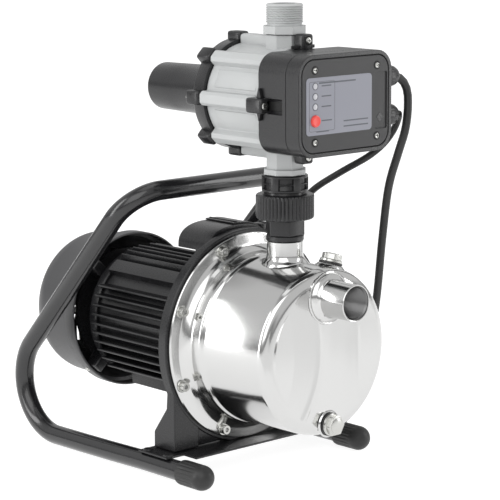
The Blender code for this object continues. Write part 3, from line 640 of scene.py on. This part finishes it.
def make_casing():
    """Drawn shell with a rolled bead, a flange and a pressed front, and the outlet's welded stub."""
    face_y, shoulder = 121.0, 108.0
    face = [(1.2 * i, face_y) for i in range(61)]
    corner = arc((73, shoulder), 13, 90, 0, 14)
    bead = [(86.2, 30), (86.8, 28.6), (88.2, 27.6), (89.3, 26.2), (89.6, 24), (89.5, 15)]
    band = [(90.2, 11.6), (92.0, 8.8), (94.6, 6.4), (97.0, 4.6), (99.0, 4.0)]
    lip = [(106.5, 3.6), (108.2, 3.1), (FLANGE_R, 2.0), (FLANGE_R, 0.3), (FLANGE_R - 0.5, 0.0)]
    inner = [(87.6, 0), (87.4, 12), (84, 27), (84, 106), *arc((71, 106), 13, 0, 90, 6), (0, 119)]
    mesh = lathe_mesh([*face, *corner, *bead, *band, *lip, *inner], 256)
    for vertex in mesh.vertices:
        x, z, height = vertex.co.x / MM, SHAFT_Z + vertex.co.y / MM, vertex.co.z / MM
        outside = hypot(x, z - SHAFT_Z) > 71.5 or height > 119.5
        if height > shoulder and outside:
            fade = min(1.0, (height - shoulder) / 11) ** 2
            vertex.co.z += face_relief(x, z) * fade * MM
    casing = add("casing_shell", mesh, "stainless", ON_SHAFT, TOWARDS["front"], replaces="pump_casing")
    carve(casing, [(17.1, 20, (0, -120, SUCTION_Z), "front"), (15.6, 60, (0, OUTLET_Y, 235), "up")])
    outlet = [(15.6, 243), (18.1, 243), (18.7, 242.4), (18.7, 229), (19.0, 226.6), (20.0, 224.2),
              (21.8, 222.0), (24.0, 219.6), (24.6, 217.5), (22.0, 214), (15.6, 214)]
    lathe("outlet_tube", outlet, "stainless", ON_OUTLET)


def make_suction():
    """Socket with a thick polished rim, a thread inside and a weld round its foot."""
    front = 160.0
    outside = [(17.0, 121.0), (17.0, front - 1.4), (17.4, front - 0.2), (18.2, front), (18.7, front - 0.5),
               (18.7, 129.5), (19.4, 127.4), (21.4, 125.6), (24.2, 123.6), (25.2, 121.8), (25.2, 121.0)]
    lathe("suction_nozzle", outside, "stainless", ON_SUCTION, "front", replaces="suction_socket")
    thread = [(16.9, 104), (16.0, 104), (16.0, 124.5)]
    for i in range(14):
        depth = 126.0 + i * THREAD_PITCH
        thread += [(16.6, depth), (15.4, depth + 1.15)]
    thread += [(16.4, front - 1.0), (16.9, front - 0.6)]
    lathe("suction_thread", thread, "dark_steel", ON_SUCTION, "front")
    weld = [(25.0, 121.6), (26.0, 122.2), (27.0, 121.8), (27.4, 121.0), (25.0, 120.6)]
    lathe("suction_weld", weld, "stainless", ON_SUCTION, "front", 96,
          lambda a, r, h: r + 0.22 * sin(34 * a) * (r > 25.5))


def hexagon(radius, corner=1.2):
    """Hexagon with a blunted point at each corner."""
    points = []
    for i in range(6):
        angle = TAU * i / 6
        hub = polar(radius - corner, angle)
        points += [polar(corner, angle + side * 0.5, hub) for side in (-1, 0, 1)]
    return points


def make_plugs():
    """Hex-head screw plugs with a turned collar and a domed top, on rubber washers."""
    lean = Matrix.Rotation(radians(17.0), 4, "Y")
    ahead = lean @ Vector((0, 0, 1))
    drain_z = centre("drain_plug").z / MM
    seats = {
        "priming_plug": (tuple(ahead * 88.4 + Vector((0, -97, SHAFT_Z))), lean),
        "drain_plug": ((0, -122.6, drain_z), TOWARDS["front"]),
    }
    top = [(0, 11.8), (6.6, 11.8), (8.0, 11.3), (8.0, 10.4), (0, 10.4)]
    skirt = [(0, 5.6), (10.6, 5.6), (11.6, 4.8), (11.6, 2.9), (6.8, 2.9), (6.8, -7), (0, -7)]
    washer = [(12.2, 2.3), (11.8, 2.6), (7.6, 2.6), (7.6, 0.3), (11.8, 0.3), (12.2, 0.6)]
    for name, (seat, turn) in seats.items():
        middle = tuple(Vector(seat) + turn @ Vector((0, 0, 7.9)))
        head = prism(name + "_head", [hexagon(10.6)], 6.4, "zinc", middle, turn=turn, bevel=0.7, body=name)
        collar = lathe(name + "_collar", top, "zinc", seat, turn=turn, steps=48, body=name)
        flange = lathe(name + "_flange", skirt, "zinc", seat, turn=turn, steps=64, body=name, replaces=name)
        joined(name + "_body", [flange, head, collar])
        lathe(name + "_seal", washer, "rubber", seat, turn=turn, steps=64, replaces=name + "_washer")
    pad = [(7.9, 122.5), (12.9, 122.5), (13.6, 121.9), (14.2, 120.6), (7.9, 120.6)]
    lathe("drain_seat", pad, "stainless", (0, 0, drain_z), "front", 64)
    seat, turn = seats["priming_plug"]
    boss = [(7.9, 0), (12.6, 0), (13.4, -0.6), (15.4, -2.6), (16.2, -5.4), (7.9, -5.4)]
    lathe("priming_seat", boss, "stainless", seat, turn=turn, steps=64)


def make_flange_bolts():
    """Socket-head cap screws with a hexagon socket, a chamfered edge and a thin washer."""
    outline = [circle(4.8, 32), circle(2.45, 6)]
    bottom = [(0, 3.4), (2.9, 3.4), (2.9, 0.8), (0, 0.8)]
    disc = [(0, 0.9), (6.2, 0.9), (6.5, 0.6), (6.5, -0.6), (0, -0.6)]
    for i in range(1, 9):
        bolt = f"flange_bolt_{i}"
        x, z = centre(bolt).x / MM, centre(bolt).z / MM
        where = (x, -4.2, z)
        turn = TOWARDS["front"] @ Matrix.Rotation(0.7 * i, 4, "Z")
        head = prism(bolt + "_head", outline, 5.4, "zinc", (x, -7.7, z), turn=turn, bevel=0.5, replaces=bolt)
        floor = lathe(bolt + "_socket", bottom, "steel", where, "front", 16)
        washer = lathe(bolt + "_washer", disc, "zinc", where, "front", 40)
        joined(bolt + "_screw", [head, floor, washer])


# ---- motor and frame

FOOT_X = 84.5
TUBE_R = 10.3

def make_bracket():
    """Cast ring with a flat underside, two feet and a web between them."""
    disc = [(100, -0.3), (111.6, -0.3), (112.5, -1.1), (112.5, -11.0), (111.0, -12.5), (104, -12.5),
            (73, -12.5), (73, -15.5), (60, -15.5), (60, -6), (100, -6)]
    ring = lathe("bracket_ring", disc, "iron_black", ON_SHAFT, "front", 144, replaces="motor_bracket")
    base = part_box("motor_bracket")[0].z
    for vertex in ring.data.vertices:
        height = SHAFT_Z * MM + vertex.co.y
        if height < base:
            vertex.co.y += base - height
    low = base / MM
    outline = [(0.6, low), (34, low), (34, 43), (14, 70), (12.4, 92), (0.6, 92)]
    feet = [prism(f"bracket_foot_{side}", [outline], 33, "iron_black", (side * FOOT_X, 0, 0), turn=SIDEWAYS,
                  bevel=1.6) for side in (-1, 1)]
    web = blocks("bracket_web", [((140, 9, 26), (0, 6.5, low + 14))], "iron_black", 2.0)
    joined("bracket_casting", [ring, *feet, web])


def housing_outline():
    """Round core with upright fins near the top, a plain pad, level fins down both sides, a flat base."""
    core, tip, half = 66.0, 76.0, 1.15

    def level(radius, v):
        return sqrt(radius * radius - v * v)

    def fin(v):
        """Corners of a fin at v, as (across, outwards)."""
        foot, crest = level(core, v), level(tip, v)
        return [(-half, foot), (-half, crest - 0.6), (-half * 0.4, crest), (half * 0.4, crest),
                (half, crest - 0.6), (half, foot)]

    side = [(0.0, core)]
    for x in (8.0, 16.0, 24.0, 32.0):
        side += [(x + across, out) for across, out in fin(x)]
    pad = arc((0, 0), tip - 1.5, 58, 46, 6)
    side += [polar(core, radians(59)), *pad, polar(core, radians(45))]
    for i in range(10):
        z = 37.5 - 10.0 * i
        side += [(out, z - across) for across, out in fin(z)]
    side += [(22.0, -level(core, 22.0)), (20.0, -tip - 2.0)]
    return side + [(-x, z) for x, z in reversed(side) if x > 0]


def make_motor():
    """Finned housing and the rear end shield with four lugs."""
    prism("finned_housing", [housing_outline(), circle(57.7, 96)], 152, "iron_black", (0, 92, SHAFT_Z),
          "front", replaces="motor_housing", angle=25.0)
    shield = [(64, 168.3), (69, 168.3), (70.5, 169.5), (70.5, 178), (69, 180), (30, 180), (26, 188),
              (12, 188), (12, 181.2), (20.4, 181.2), (20.4, 168.3)]
    ring = lathe("end_shield", shield, "iron_black", ON_SHAFT, "back", replaces="rear_end_shield")
    lugs = [((22, 18, 12), *around(TAU * (i + 0.5) / 4, 72, 189, SHAFT_Z)) for i in range(4)]
    joined("end_shield_casting", [ring, blocks("shield_lugs", lugs, "iron_black", 1.5)])


def make_fan_cover():
    """Domed cover with a rolled front band, concentric vent slots behind and small side screws."""
    rear, wall = 287.0, 1.8
    dome, inside = [(0.0, rear)], [(0.0, rear - wall)]
    for i in range(1, 25):
        a = pi / 2 * i / 24
        dome.append((30 + 50 * sin(a), rear - 40 + 40 * cos(a)))
        inside.append((30 + (50 - wall) * sin(a), rear - 40 + (40 - wall) * cos(a)))
    band = [(80.4, 210), (81.5, 206), (84, 204.2), (85.4, 203.6), (86, 202.6), (86, 189), (85.3, 188),
            (84.2, 188), (84.2, 202.5), (80.2, 203.5), (78.2, 210)]
    cover = lathe("fan_cowl", [*dome, *band, *reversed(inside)], "cover_grey", ON_SHAFT, "back", 128,
                  replaces="fan_cover")
    bm = bmesh.new()
    for i in range(24):
        for radius, length in ((20, 15), (41, 19)):
            where, turn = around(TAU * (i + 0.5) / 24, radius, rear, SHAFT_Z)
            matrix = Matrix.Translation(place(*where)) @ turn
            size = Matrix.Diagonal((length * MM, 50 * MM, (1.6 + radius * 0.06) * MM, 1.0))
            bmesh.ops.create_cube(bm, size=1.0, matrix=matrix @ size)
    cut_with(cover, mesh_from(bm, "tool"), Matrix.Identity(4))
    screws = []
    head = [(0, 1.4), (1.0, 1.5), (2.2, 1.1), (3.0, 0.1), (3.0, -2), (0, -2)]
    for i in range(4):
        a = TAU * (i + 0.5) / 4
        x, z = polar(86, a, (0, SHAFT_Z))
        turn = Matrix.Rotation(-a, 4, "Y") @ TOWARDS["right"]
        screws.append(lathe(f"cowl_screw_{i}", head, "zinc", (x, 196, z), turn=turn, steps=24))
    joined("cowl_screws", screws)


def arch(offset, start, stop, count):
    """Part of the terminal box's arched outline, grown by the offset."""
    points = []
    for i in range(count + 1):
        a = radians(start + (stop - start) * i / count)
        along = copysign(abs(cos(a)) ** 0.8, cos(a))
        points.append((-1 + (41 + offset) * along, 228 + (22.5 + offset) * sin(a) ** 0.8))
    return points


def make_terminal_box():
    """Arched box on a pedestal, its lid with a rib, and the lead's gland."""
    outline = [(40, 226), *arch(0, 4, 176, 56), (-42, 226)]
    box = prism("terminal_housing", [outline], 49.1, "plastic_black", (0, 37.45, 0), "front", bevel=1.0,
                replaces="terminal_box")
    neck = blocks("terminal_pedestal", [((56, 36, 18), (0, 33, 219.4)), ((9, 16, 20), (37.5, 21.4, 237))],
                  "plastic_black", 1.5)
    joined("terminal_box_moulding", [box, neck])
    lid = prism("terminal_cover", [[*arch(1.8, 20, 92, 30), *arch(0.2, 92, 20, 30)]], 44, "plastic_black",
                (0, 39.6, 0), "front", bevel=0.6, replaces="terminal_box_lid")
    rib = blocks("terminal_rib", [((1.6, 44, 1.0), (2.0, 39.6, 252.6))], "plastic_black", 0.5)
    joined("terminal_cover_moulding", [lid, rib])
    gland = [(4.2, 15), (6.4, 15), (8.4, 12.4), (8.6, 5), (9.2, 4.6), (9.2, 0.3), (4.2, 0.3)]
    lathe("terminal_gland_nut", gland, "plastic_black", (42, 21.4, 238), "right", 64,
          lambda a, r, h: r + (0.5 * cos(12 * a) if 5.5 < h < 12.6 and r > 8 else 0),
          replaces="terminal_gland")


def frame_route():
    """The same bent tube as the frame's, with its bends as fine arcs."""
    lean = radians(46.0)
    low, start, bend, bend_y, shoulder = TUBE_R + 0.2, 12.9, 57.0, 187.5, 40.0
    rise = Vector((0, -cos(lean), sin(lean)))
    side = [(-RAIL_X, -46, start), (-RAIL_X, 10, start), (-RAIL_X, 38, start), (-RAIL_X, 64, 12.3),
            (-RAIL_X, 90, 11.7), (-RAIL_X, 140, 11.0), (-RAIL_X, bend_y, low)]
    for i in range(1, 31):
        a = (pi - lean) * i / 30
        side.append((-RAIL_X, bend_y + bend * sin(a), low + bend - bend * cos(a)))
    top = Vector((-RAIL_X, 54.3, 289.5))
    for i in range(25):
        a = pi / 2 * i / 24
        across = Vector((shoulder * (1 - cos(a)), 0, 0))
        side.append(tuple(top + across - rise * shoulder * (1 - sin(a))))
    return side + [(-x, y, z) for x, y, z in reversed(side)]


def make_frame():
    """Bent tube, rubber foot caps, base plate with the feet's bolts and the plate's welds."""
    bar("carry_tube", frame_route(), TUBE_R, "gloss_black", replaces="carry_frame", resolution=16)

    def grip(a, r, h):
        inside_grip = 27 < h < 50 and r > 12.2
        return r - (0.55 * (0.5 + 0.5 * cos(20 * a)) ** 3 if inside_grip else 0)

    cap = [(0, 66), *arc((0, 53), 13, 88, 2, 16), *[(13, h) for h in (51, 49, 44, 36, 28, 26.5)],
           (12.6, 24.4), (11.6, 24), (10.5, 24), (10.5, 28)]
    for name, side in (("foot_cap_left", -1), ("foot_cap_right", 1)):
        lathe(name + "_boot", cap, "rubber", (side * RAIL_X, 0, 13), "front", 240, grip, replaces=name)
    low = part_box("base_plate")[0].z / MM
    edge = [(-96, -27), (96, -27), (96, -7), (119, -7), (119, 38), (-119, 38), (-119, -7), (-96, -7)]
    prism("base_sheet", [edge], 2.2, "iron_black", (0, 0, low + 1.1), bevel=0.7, replaces="base_plate")
    parts = []
    disc = [(0, 1.2), (7.5, 1.2), (8, 0.8), (8, -1), (0, -1)]
    bead = [(0, 2.2), (4.5, 1.5), (6, 0), (6, -1), (0, -1)]
    for side in (-1, 1):
        x, y, z = side * FOOT_X, 27.5, 38.2
        parts.append(lathe(f"foot_bolt_washer_{side}", disc, "zinc", (x, y, z), "up", 40))
        parts.append(prism(f"foot_bolt_{side}", [hexagon(6.4)], 5, "zinc", (x, y, z + 3.7), bevel=0.6))
        for weld_y in (-2, 30):
            parts.append(lathe(f"weld_{side}_{weld_y}", bead, "iron_black", (side * 112, weld_y, low + 2.2),
                               "up", 32))
    joined("base_fasteners", parts)


# ---- union

def make_union():
    """Adapter with a hexagon, knurled union nut and windowed tailpiece, all round the outlet's axis."""
    flange = [(11.5, 249), (18.6, 249), (19.4, 248.2), (19.4, 244.2), (18.8, 243.4), (15.2, 243.4),
              (15.2, 226), (11.5, 226)]
    collar = lathe("adapter_collar", flange, "plastic_black", ON_OUTLET, replaces="union_adapter")
    nut = prism("adapter_hexagon", [hexagon(20.6, 1.6), circle(11.6, 48)], 15.8, "plastic_black",
                (0, OUTLET_Y, 256.9), bevel=0.8)
    rim = [(12, 284), (24, 284), (24, 266.6), (21, 265.4), (18, 264.6), (12, 264.6)]
    head = lathe("adapter_head", rim, "plastic_black", ON_OUTLET)
    joined("adapter_moulding", [collar, nut, head])

    knurls = 46

    def knurl(a, r, h):
        on_rim = r > 29.0 and 268 < h < 289.6
        return r - (1.15 * (0.5 + 0.5 * cos(knurls * a)) ** 2 if on_rim else 0)

    profile = [(21.6, 291.3), (27.2, 291.3), (28.8, 290.6), (29.8, 289.2), (29.8, 286), (29.8, 280),
               (29.8, 274), (29.8, 268.2), (29.2, 266.6), (28.2, 265.9), (24.4, 265.9), (24.4, 289.0),
               (21.6, 289.0)]
    lathe("union_ring", profile, "plastic_black", ON_OUTLET, "up", knurls * 10, knurl,
          body="union_nut", replaces="union_nut")

    tail = [(16, 310.4), (20.6, 310.4), (20.6, 294.6), (21.2, 293.4), (21.2, 288.7), (24, 288.7),
            (24, 284.3), (12, 284.3), (12, 296), (16, 296)]
    pieces = [lathe("tail_core", tail, "plastic_black", ON_OUTLET, replaces="union_tailpiece")]
    bands = ((293.8, 296.4, 23.6), (301.4, 302.8, 22.9), (308.0, 310.5, 23.6))
    for i, (low, high, radius) in enumerate(bands):
        band = [(20, high), (radius - 0.5, high), (radius, high - 0.5), (radius, low + 0.5),
                (radius - 0.5, low), (20, low)]
        pieces.append(lathe(f"tail_band_{i}", band, "plastic_black", ON_OUTLET))
    posts = []
    for i in range(6):
        angle = TAU * i / 6 + 0.35
        posts.append(((3.2, 8.5, 13), (*polar(21.9, angle, (0, OUTLET_Y)), 302.2),
                      Matrix.Rotation(angle, 4, "Z")))
    pieces.append(blocks("tail_posts", posts, "plastic_black", 0.6))
    joined("tailpiece_moulding", pieces)


# ---- controller

def octagon(radius):
    """Octagon with flat sides at the radius."""
    return circle(radius / cos(pi / 8), 8, phase=pi / 8)


def ribbed_outline(radius, ribs):
    """Drum section with a chamfered rib at each listed angle, in degrees."""
    points = []
    step, half = 5, 7.6
    rib = [(radius - 0.6, -half), (59.2, -7.4), (62.4, -4.2), (62.4, 4.2), (59.2, 7.4), (radius - 0.6, half)]
    reach = degrees(asin(half / radius)) + 1
    for start in range(0, 360, step):
        near = [angle for angle in ribs if abs((start - angle + 180) % 360 - 180) <= reach]
        if not near:
            points.append(polar(radius, radians(start)))
        elif start == near[0]:
            a = radians(start)
            points += [(out * cos(a) - across * sin(a), out * sin(a) + across * cos(a))
                       for out, across in rib]
    return points


def make_controller_body():
    """Grey drum with ribs, between an upper neck with a pipe thread and a lower one with a spigot."""
    front, rear, bore = -77.5, 2.0, 11.5
    outline = ribbed_outline(53, (0, 45, 135, 180, 225, 315))
    drum = prism("drum", [outline, circle(46, 64)], rear - front, "plastic_grey",
                 (0, (front + rear) / 2, BODY_Z), "front", bevel=0.9, replaces="controller_body")
    short = [((15, rear - OUTLET_Y - 8, 16), (0, (rear + OUTLET_Y + 8) / 2, BODY_Z + side * 54.4))
             for side in (-1, 1)]
    ribs = blocks("short_ribs", short, "plastic_grey", 3.0, 2)
    steps = [((4.2, 62, 19), *around(-radians(angle), 51.1, -40, BODY_Z))
             for angle in (22.5, 67.5, 112.5, 157.5, 202.5, 337.5)]
    panels = blocks("drum_panels", steps, "plastic_grey", 1.4, 2)
    hole = circle(12.5, 48)
    neck = prism("neck", [octagon(18.3), hole], 136, "plastic_grey", (0, OUTLET_Y, 384), bevel=1.2)
    pieces = [drum, ribs, panels, neck]
    for i, (low, high, radius) in enumerate(((311, 317.2, 20.9), (453.2, 461, 21.1))):
        pieces.append(prism(f"collar_{i}", [octagon(radius), hole], high - low, "plastic_grey",
                            (0, OUTLET_Y, (low + high) / 2), bevel=0.9))
    thread = [(bore, 483), (17.2, 483), (18.3, 482.2)]
    for i in range(8):
        z = 481.2 - i * THREAD_PITCH
        thread += [(19.0, z), (19.0, z - 0.4), (17.7, z - 1.15), (17.7, z - 1.5)]
    thread += [(17.4, 461), (bore, 461)]
    pieces.append(lathe("top_thread", thread, "plastic_grey", ON_OUTLET))
    spigot = [(bore, 312), (15.4, 312), (15.4, 298), (bore, 298)]
    pieces.append(lathe("spigot", spigot, "plastic_grey", ON_OUTLET))
    joined("flow_body_moulding", pieces)


def make_controller_rear():
    """Black cover: a thick ring with eight screw lugs and a tapered spring tower with a rounded end."""
    tower = [(0, 131.8), (18, 131.8), *arc((20.4, 127.2), 4.6, 90, 0, 6), (25.6, 90), (26.4, 26),
             (28, 23), (31, 22), (48, 22), (52, 21), (56, 18.5), (57, 16.5), (57, 2.3), (47, 2.3),
             (47, 12), (22, 12), (22, 129), (0, 129)]
    cover = lathe("spring_tower", tower, "plastic_black", ON_BODY, "back", 128, replaces="diaphragm_cover")
    head = [(0, 0.5), (1.2, 0.5), (1.4, 1.2), (2.9, 0.9), (3.4, -1), (0, -1)]
    lugs, screws = [], []
    for i in range(8):
        angle = -TAU * i / 8
        lugs.append(((12.6, 19.4, 14.6), *around(angle, 58, 12.2, BODY_Z)))
        where = around(angle, 59.5, 22, BODY_Z)[0]
        screws.append(lathe(f"cover_screw_{i}", head, "zinc", where, "back", 24))
    joined("rear_cover_moulding", [cover, blocks("cover_lugs", lugs, "plastic_black", 2.8, 3)])
    joined("rear_cover_screws", screws)


def pan_screw(name, where, radius=3.6):
    """A cross-recess pan head facing the front, in a flat ring of painted shade that stands for its
    counterbore.
    """
    dome = [(0, -0.6), (0.8, -0.6), (1.2, 1.25), (radius * 0.6, 1.3), (radius * 0.88, 0.8), (radius, 0.05),
            (radius, -1.5), (0, -1.5)]
    head = lathe(name, dome, "zinc", where, "front", 48,
                 lambda a, r, h: r * (1.15 + 0.45 * cos(4 * a)) if r < 1.3 else r)
    # Painted shade: a flat near-black ring round the head stands for the shade in its counterbore.
    rim = [(radius, 0.12), (radius + 1.3, 0.12), (radius + 1.5, -0.6), (radius, -0.6)]
    return [head, lathe(name + "_painted_shade_ring", rim, "void", where, "front", 40)]


def make_control_box():
    """Black box in front of the drum: tub with ears and scoops, framed lid with a panel, and screws."""
    half_x, half_z, seam, back = 64.0, 50.0, -126.5, -88.0

    def inset(by):
        return rounded(half_x - by, half_z - by, 20 - by)

    base = prism("box_tub", [inset(0), inset(3)], back - seam, "plastic_black",
                 (0, (back + seam) / 2, BOX_Z), "front", bevel=1.0, replaces="control_box_base")
    rear = prism("box_back", [inset(0.5)], 3.0, "plastic_black", (0, back - 1.5, BOX_Z), "front", bevel=1.4)
    disc = [(0, -77.8), (51, -77.8), (52, -78.8), (52, -89), (0, -89)]
    boss = lathe("box_boss", disc, "plastic_black", ON_BODY, "back")
    lugs = [((14, 23, 15), (side * 66, -89.5, BODY_Z)) for side in (-1, 1)]
    lugs += [((15, 14.2, 17), (0, -85, BOX_Z + side * 56.5)) for side in (-1, 1)]
    ears = blocks("box_ears", lugs, "plastic_black", 2.8)
    carve(base, [(9.0, 21, (side * 68.6, -111.5, BODY_Z), "front") for side in (-1, 1)])
    # Painted shade: near-black sheets inside the scoops stand for the shade that falls in them.
    shade_sheets = [((1.2, 24, 20), (side * 59.2, -111.5, BODY_Z)) for side in (-1, 1)]
    pieces = [base, rear, boss, ears, blocks("scoop_painted_shade", shade_sheets, "void", 0.2, 1)]
    spike = [(-3.2, 6.5), (3.2, 6.5), (0.6, 16), (-0.6, 16)]
    for turn in range(4):
        angle = TAU * turn / 4
        across, offset, y = (66.0, 0.0, -92.0) if turn % 2 == 0 else (0.0, 52.0, -84.0)
        hub = (across * cos(angle), y, BOX_Z + offset * sin(angle))
        for flip in (1, -1):
            outline = [(x, flip * z) for x, z in spike]
            pieces.append(prism(f"box_spike_{turn}_{flip}", [outline], 3.4, "plastic_black", hub,
                                turn=Matrix.Rotation(-angle, 4, "Y") @ SIDEWAYS, bevel=0.5))
    joined("box_base_moulding", pieces)

    rim_rear = seam - 0.3
    rim = prism("lid_rim", [inset(0), inset(4.2)], rim_rear - BOX_FRONT, "plastic_black",
                (0, (rim_rear + BOX_FRONT) / 2, BOX_Z), "front", bevel=1.6, segments=4,
                replaces="control_box_lid")
    # Painted shade: a near-black ring at the floor of the groove between the lid's rim and its panel.
    groove_shade = prism("lid_groove_painted_shade", [inset(4), inset(6)], 2, "void", (0, BOX_FRONT + 2.8, BOX_Z), "front")
    slot_at = (48.5, 0)
    panel = prism("lid_panel", [inset(5.2), rounded(9, 28.3, 2, 4, slot_at)], 2.4, "panel_black",
                  (0, BOX_FRONT + 1.4, BOX_Z), "front", bevel=0.7)
    recess = prism("lid_recess", [rounded(9.4, 28.7, 2, 4, slot_at)], 1, "panel_black",
                   (0, BOX_FRONT + 2.1, BOX_Z), "front", bevel=0.2)
    diamond = ((7, 0.5, 7), (slot_at[0], BOX_FRONT + 1.5, 372), Matrix.Rotation(pi / 4, 4, "Y"))
    mark = blocks("lid_mark", [diamond], "plastic_black", 0.2, 1)
    joined("lid_moulding", [rim, groove_shade, panel, recess, mark])
    screws = []
    for x in (-42, 43):
        for z in (354, 424):
            screws += pan_screw(f"lid_screw_{x}_{z}", (x, BOX_FRONT + 0.1, z), 3.0)
    for side in (-1, 1):
        screws += pan_screw(f"ear_screw_{side}", (side * 68, -101.2, BODY_Z))
        screws += pan_screw(f"top_screw_{side}", (0, -92.3, BOX_Z + side * 58.5))
    joined("box_screws", screws)
    make_label()


def make_label():
    """Printed film with an inner frame, three lamp windows and plain bars in place of words."""
    film_x, lamp_x, button_z, top_lamp_z, lamp_step = -9.2, -42, 375, 408.7, 10
    printed_y, thick = BOX_FRONT - 0.05, 0.56
    hole = circle(6.0, 40, (lamp_x - film_x, button_z - BOX_Z))
    film = prism("label_film", [rounded(44.7, 27.9, 4, 8), hole], 0.5, "label", (film_x, BOX_FRONT, BOX_Z),
                 "front")
    outlines = [rounded(17.3, 24.2, 2, 5, (-23.6, 0)), rounded(16.9, 23.8, 1.6, 5, (-23.6, 0))]
    border = prism("label_frame", outlines, thick, "label_dark", (film_x, printed_y, BOX_Z), "front")
    rows = [(50, 1.5, -12, 411.5)]
    rows += [(13, 1.2, -27, top_lamp_z - lamp_step * i) for i in range(3)]
    rows += [(14, 1.2, -26.5, button_z), (17, 1.0, -32, 364.4), (34, 1.3, 13.5, 372.5),
             (34, 1.3, 13.5, 367.2)]
    bars = [((width, thick, height), (x, printed_y, z)) for width, height, x, z in rows]
    joined("label_sheet", [film, border, blocks("label_bars", bars, "label_dark", 0.05, 1)])
    dome = [(0, 0.9), (2.0, 0.75), (2.9, 0.2), (2.9, -0.5), (0, -0.5)]
    bezel = [(2.9, 0.3), (3.6, 0.3), (3.8, -0.4), (2.9, -0.4)]
    lamps = []
    for i in range(3):
        where = (lamp_x, BOX_FRONT - 0.25, top_lamp_z - lamp_step * i)
        lamps.append(lathe(f"lamp_{i}", dome, "lamp", where, "front", 40))
        lamps.append(lathe(f"lamp_ring_{i}", bezel, "label_dark", where, "front", 40))
    joined("label_lamps", lamps)
    button = [(0, 2.1), (3.6, 2.3), (4.6, 2.6), (5.3, 2.3), (5.8, 1.4), (5.8, -3.4), (7.4, -3.4),
              (7.4, -5), (0, -5)]
    lathe("reset_button_cap", button, "button_red", (lamp_x, BOX_FRONT, button_z), "front", 64,
          body="reset_button", replaces="reset_button")


def make_glands():
    """Cable glands: a hexagonal nut, a ribbed dome nut and a rubber sleeve."""
    nut_outline = [hexagon(12.2, 1.4), circle(6, 32)]
    nut_turn = TOWARDS["right"] @ Matrix.Rotation(0.3, 4, "Z")
    collar = [(11.6, 9.2), (12, 8.6), (12, 7.8), (11.4, 7.2), (10, 7.2), (10, 9.2)]

    def ribs(a, r, h):
        on_dome = 9 < h < 21 and r > 10
        return r - (0.6 * (0.5 + 0.5 * cos(15 * a)) ** 4 if on_dome else 0)

    for name, exit_at, lead_r in (("mains_gland", MAINS_EXIT, LEAD_R), ("motor_gland", MOTOR_EXIT, 3.6)):
        y, z = exit_at[1:]
        seat = (64, y, z)
        bore = lead_r + 0.3
        nut = prism(name + "_nut", nut_outline, 7, "plastic_black", (68.1, y, z), turn=nut_turn, bevel=0.8,
                    replaces=name)
        dome = [(bore, 27.6), (6.6, 27.8), (8.4, 26.6), (10.2, 23.5), (11.2, 18), (11.3, 10), (10.6, 8),
                (bore, 8)]
        cap = lathe(name + "_dome", dome, "plastic_black", seat, "right", 120, ribs)
        lip = lathe(name + "_lip", collar, "plastic_black", seat, "right", 64)
        joined(name + "_fitting", [nut, cap, lip])


def paint_the_rest():
    """Hidden CAD nodes keep their shape and get a full material."""
    slots = {s["node"]: s["material_slot"] for s in frame["record"]["subparts"]}
    for name, hidden in frame["nodes"].items():
        kind = slots.get(name)
        hidden.data.materials.clear()
        hidden.data.materials.append(material(kind if kind in LOOKS else "steel"))


paint_the_rest()
make_camera()
make_studio()
make_leads()
make_casing()
make_suction()
make_plugs()
make_flange_bolts()
make_bracket()
make_motor()
make_fan_cover()
make_terminal_box()
make_frame()
make_union()
make_controller_body()
make_controller_rear()
make_control_box()
make_glands()
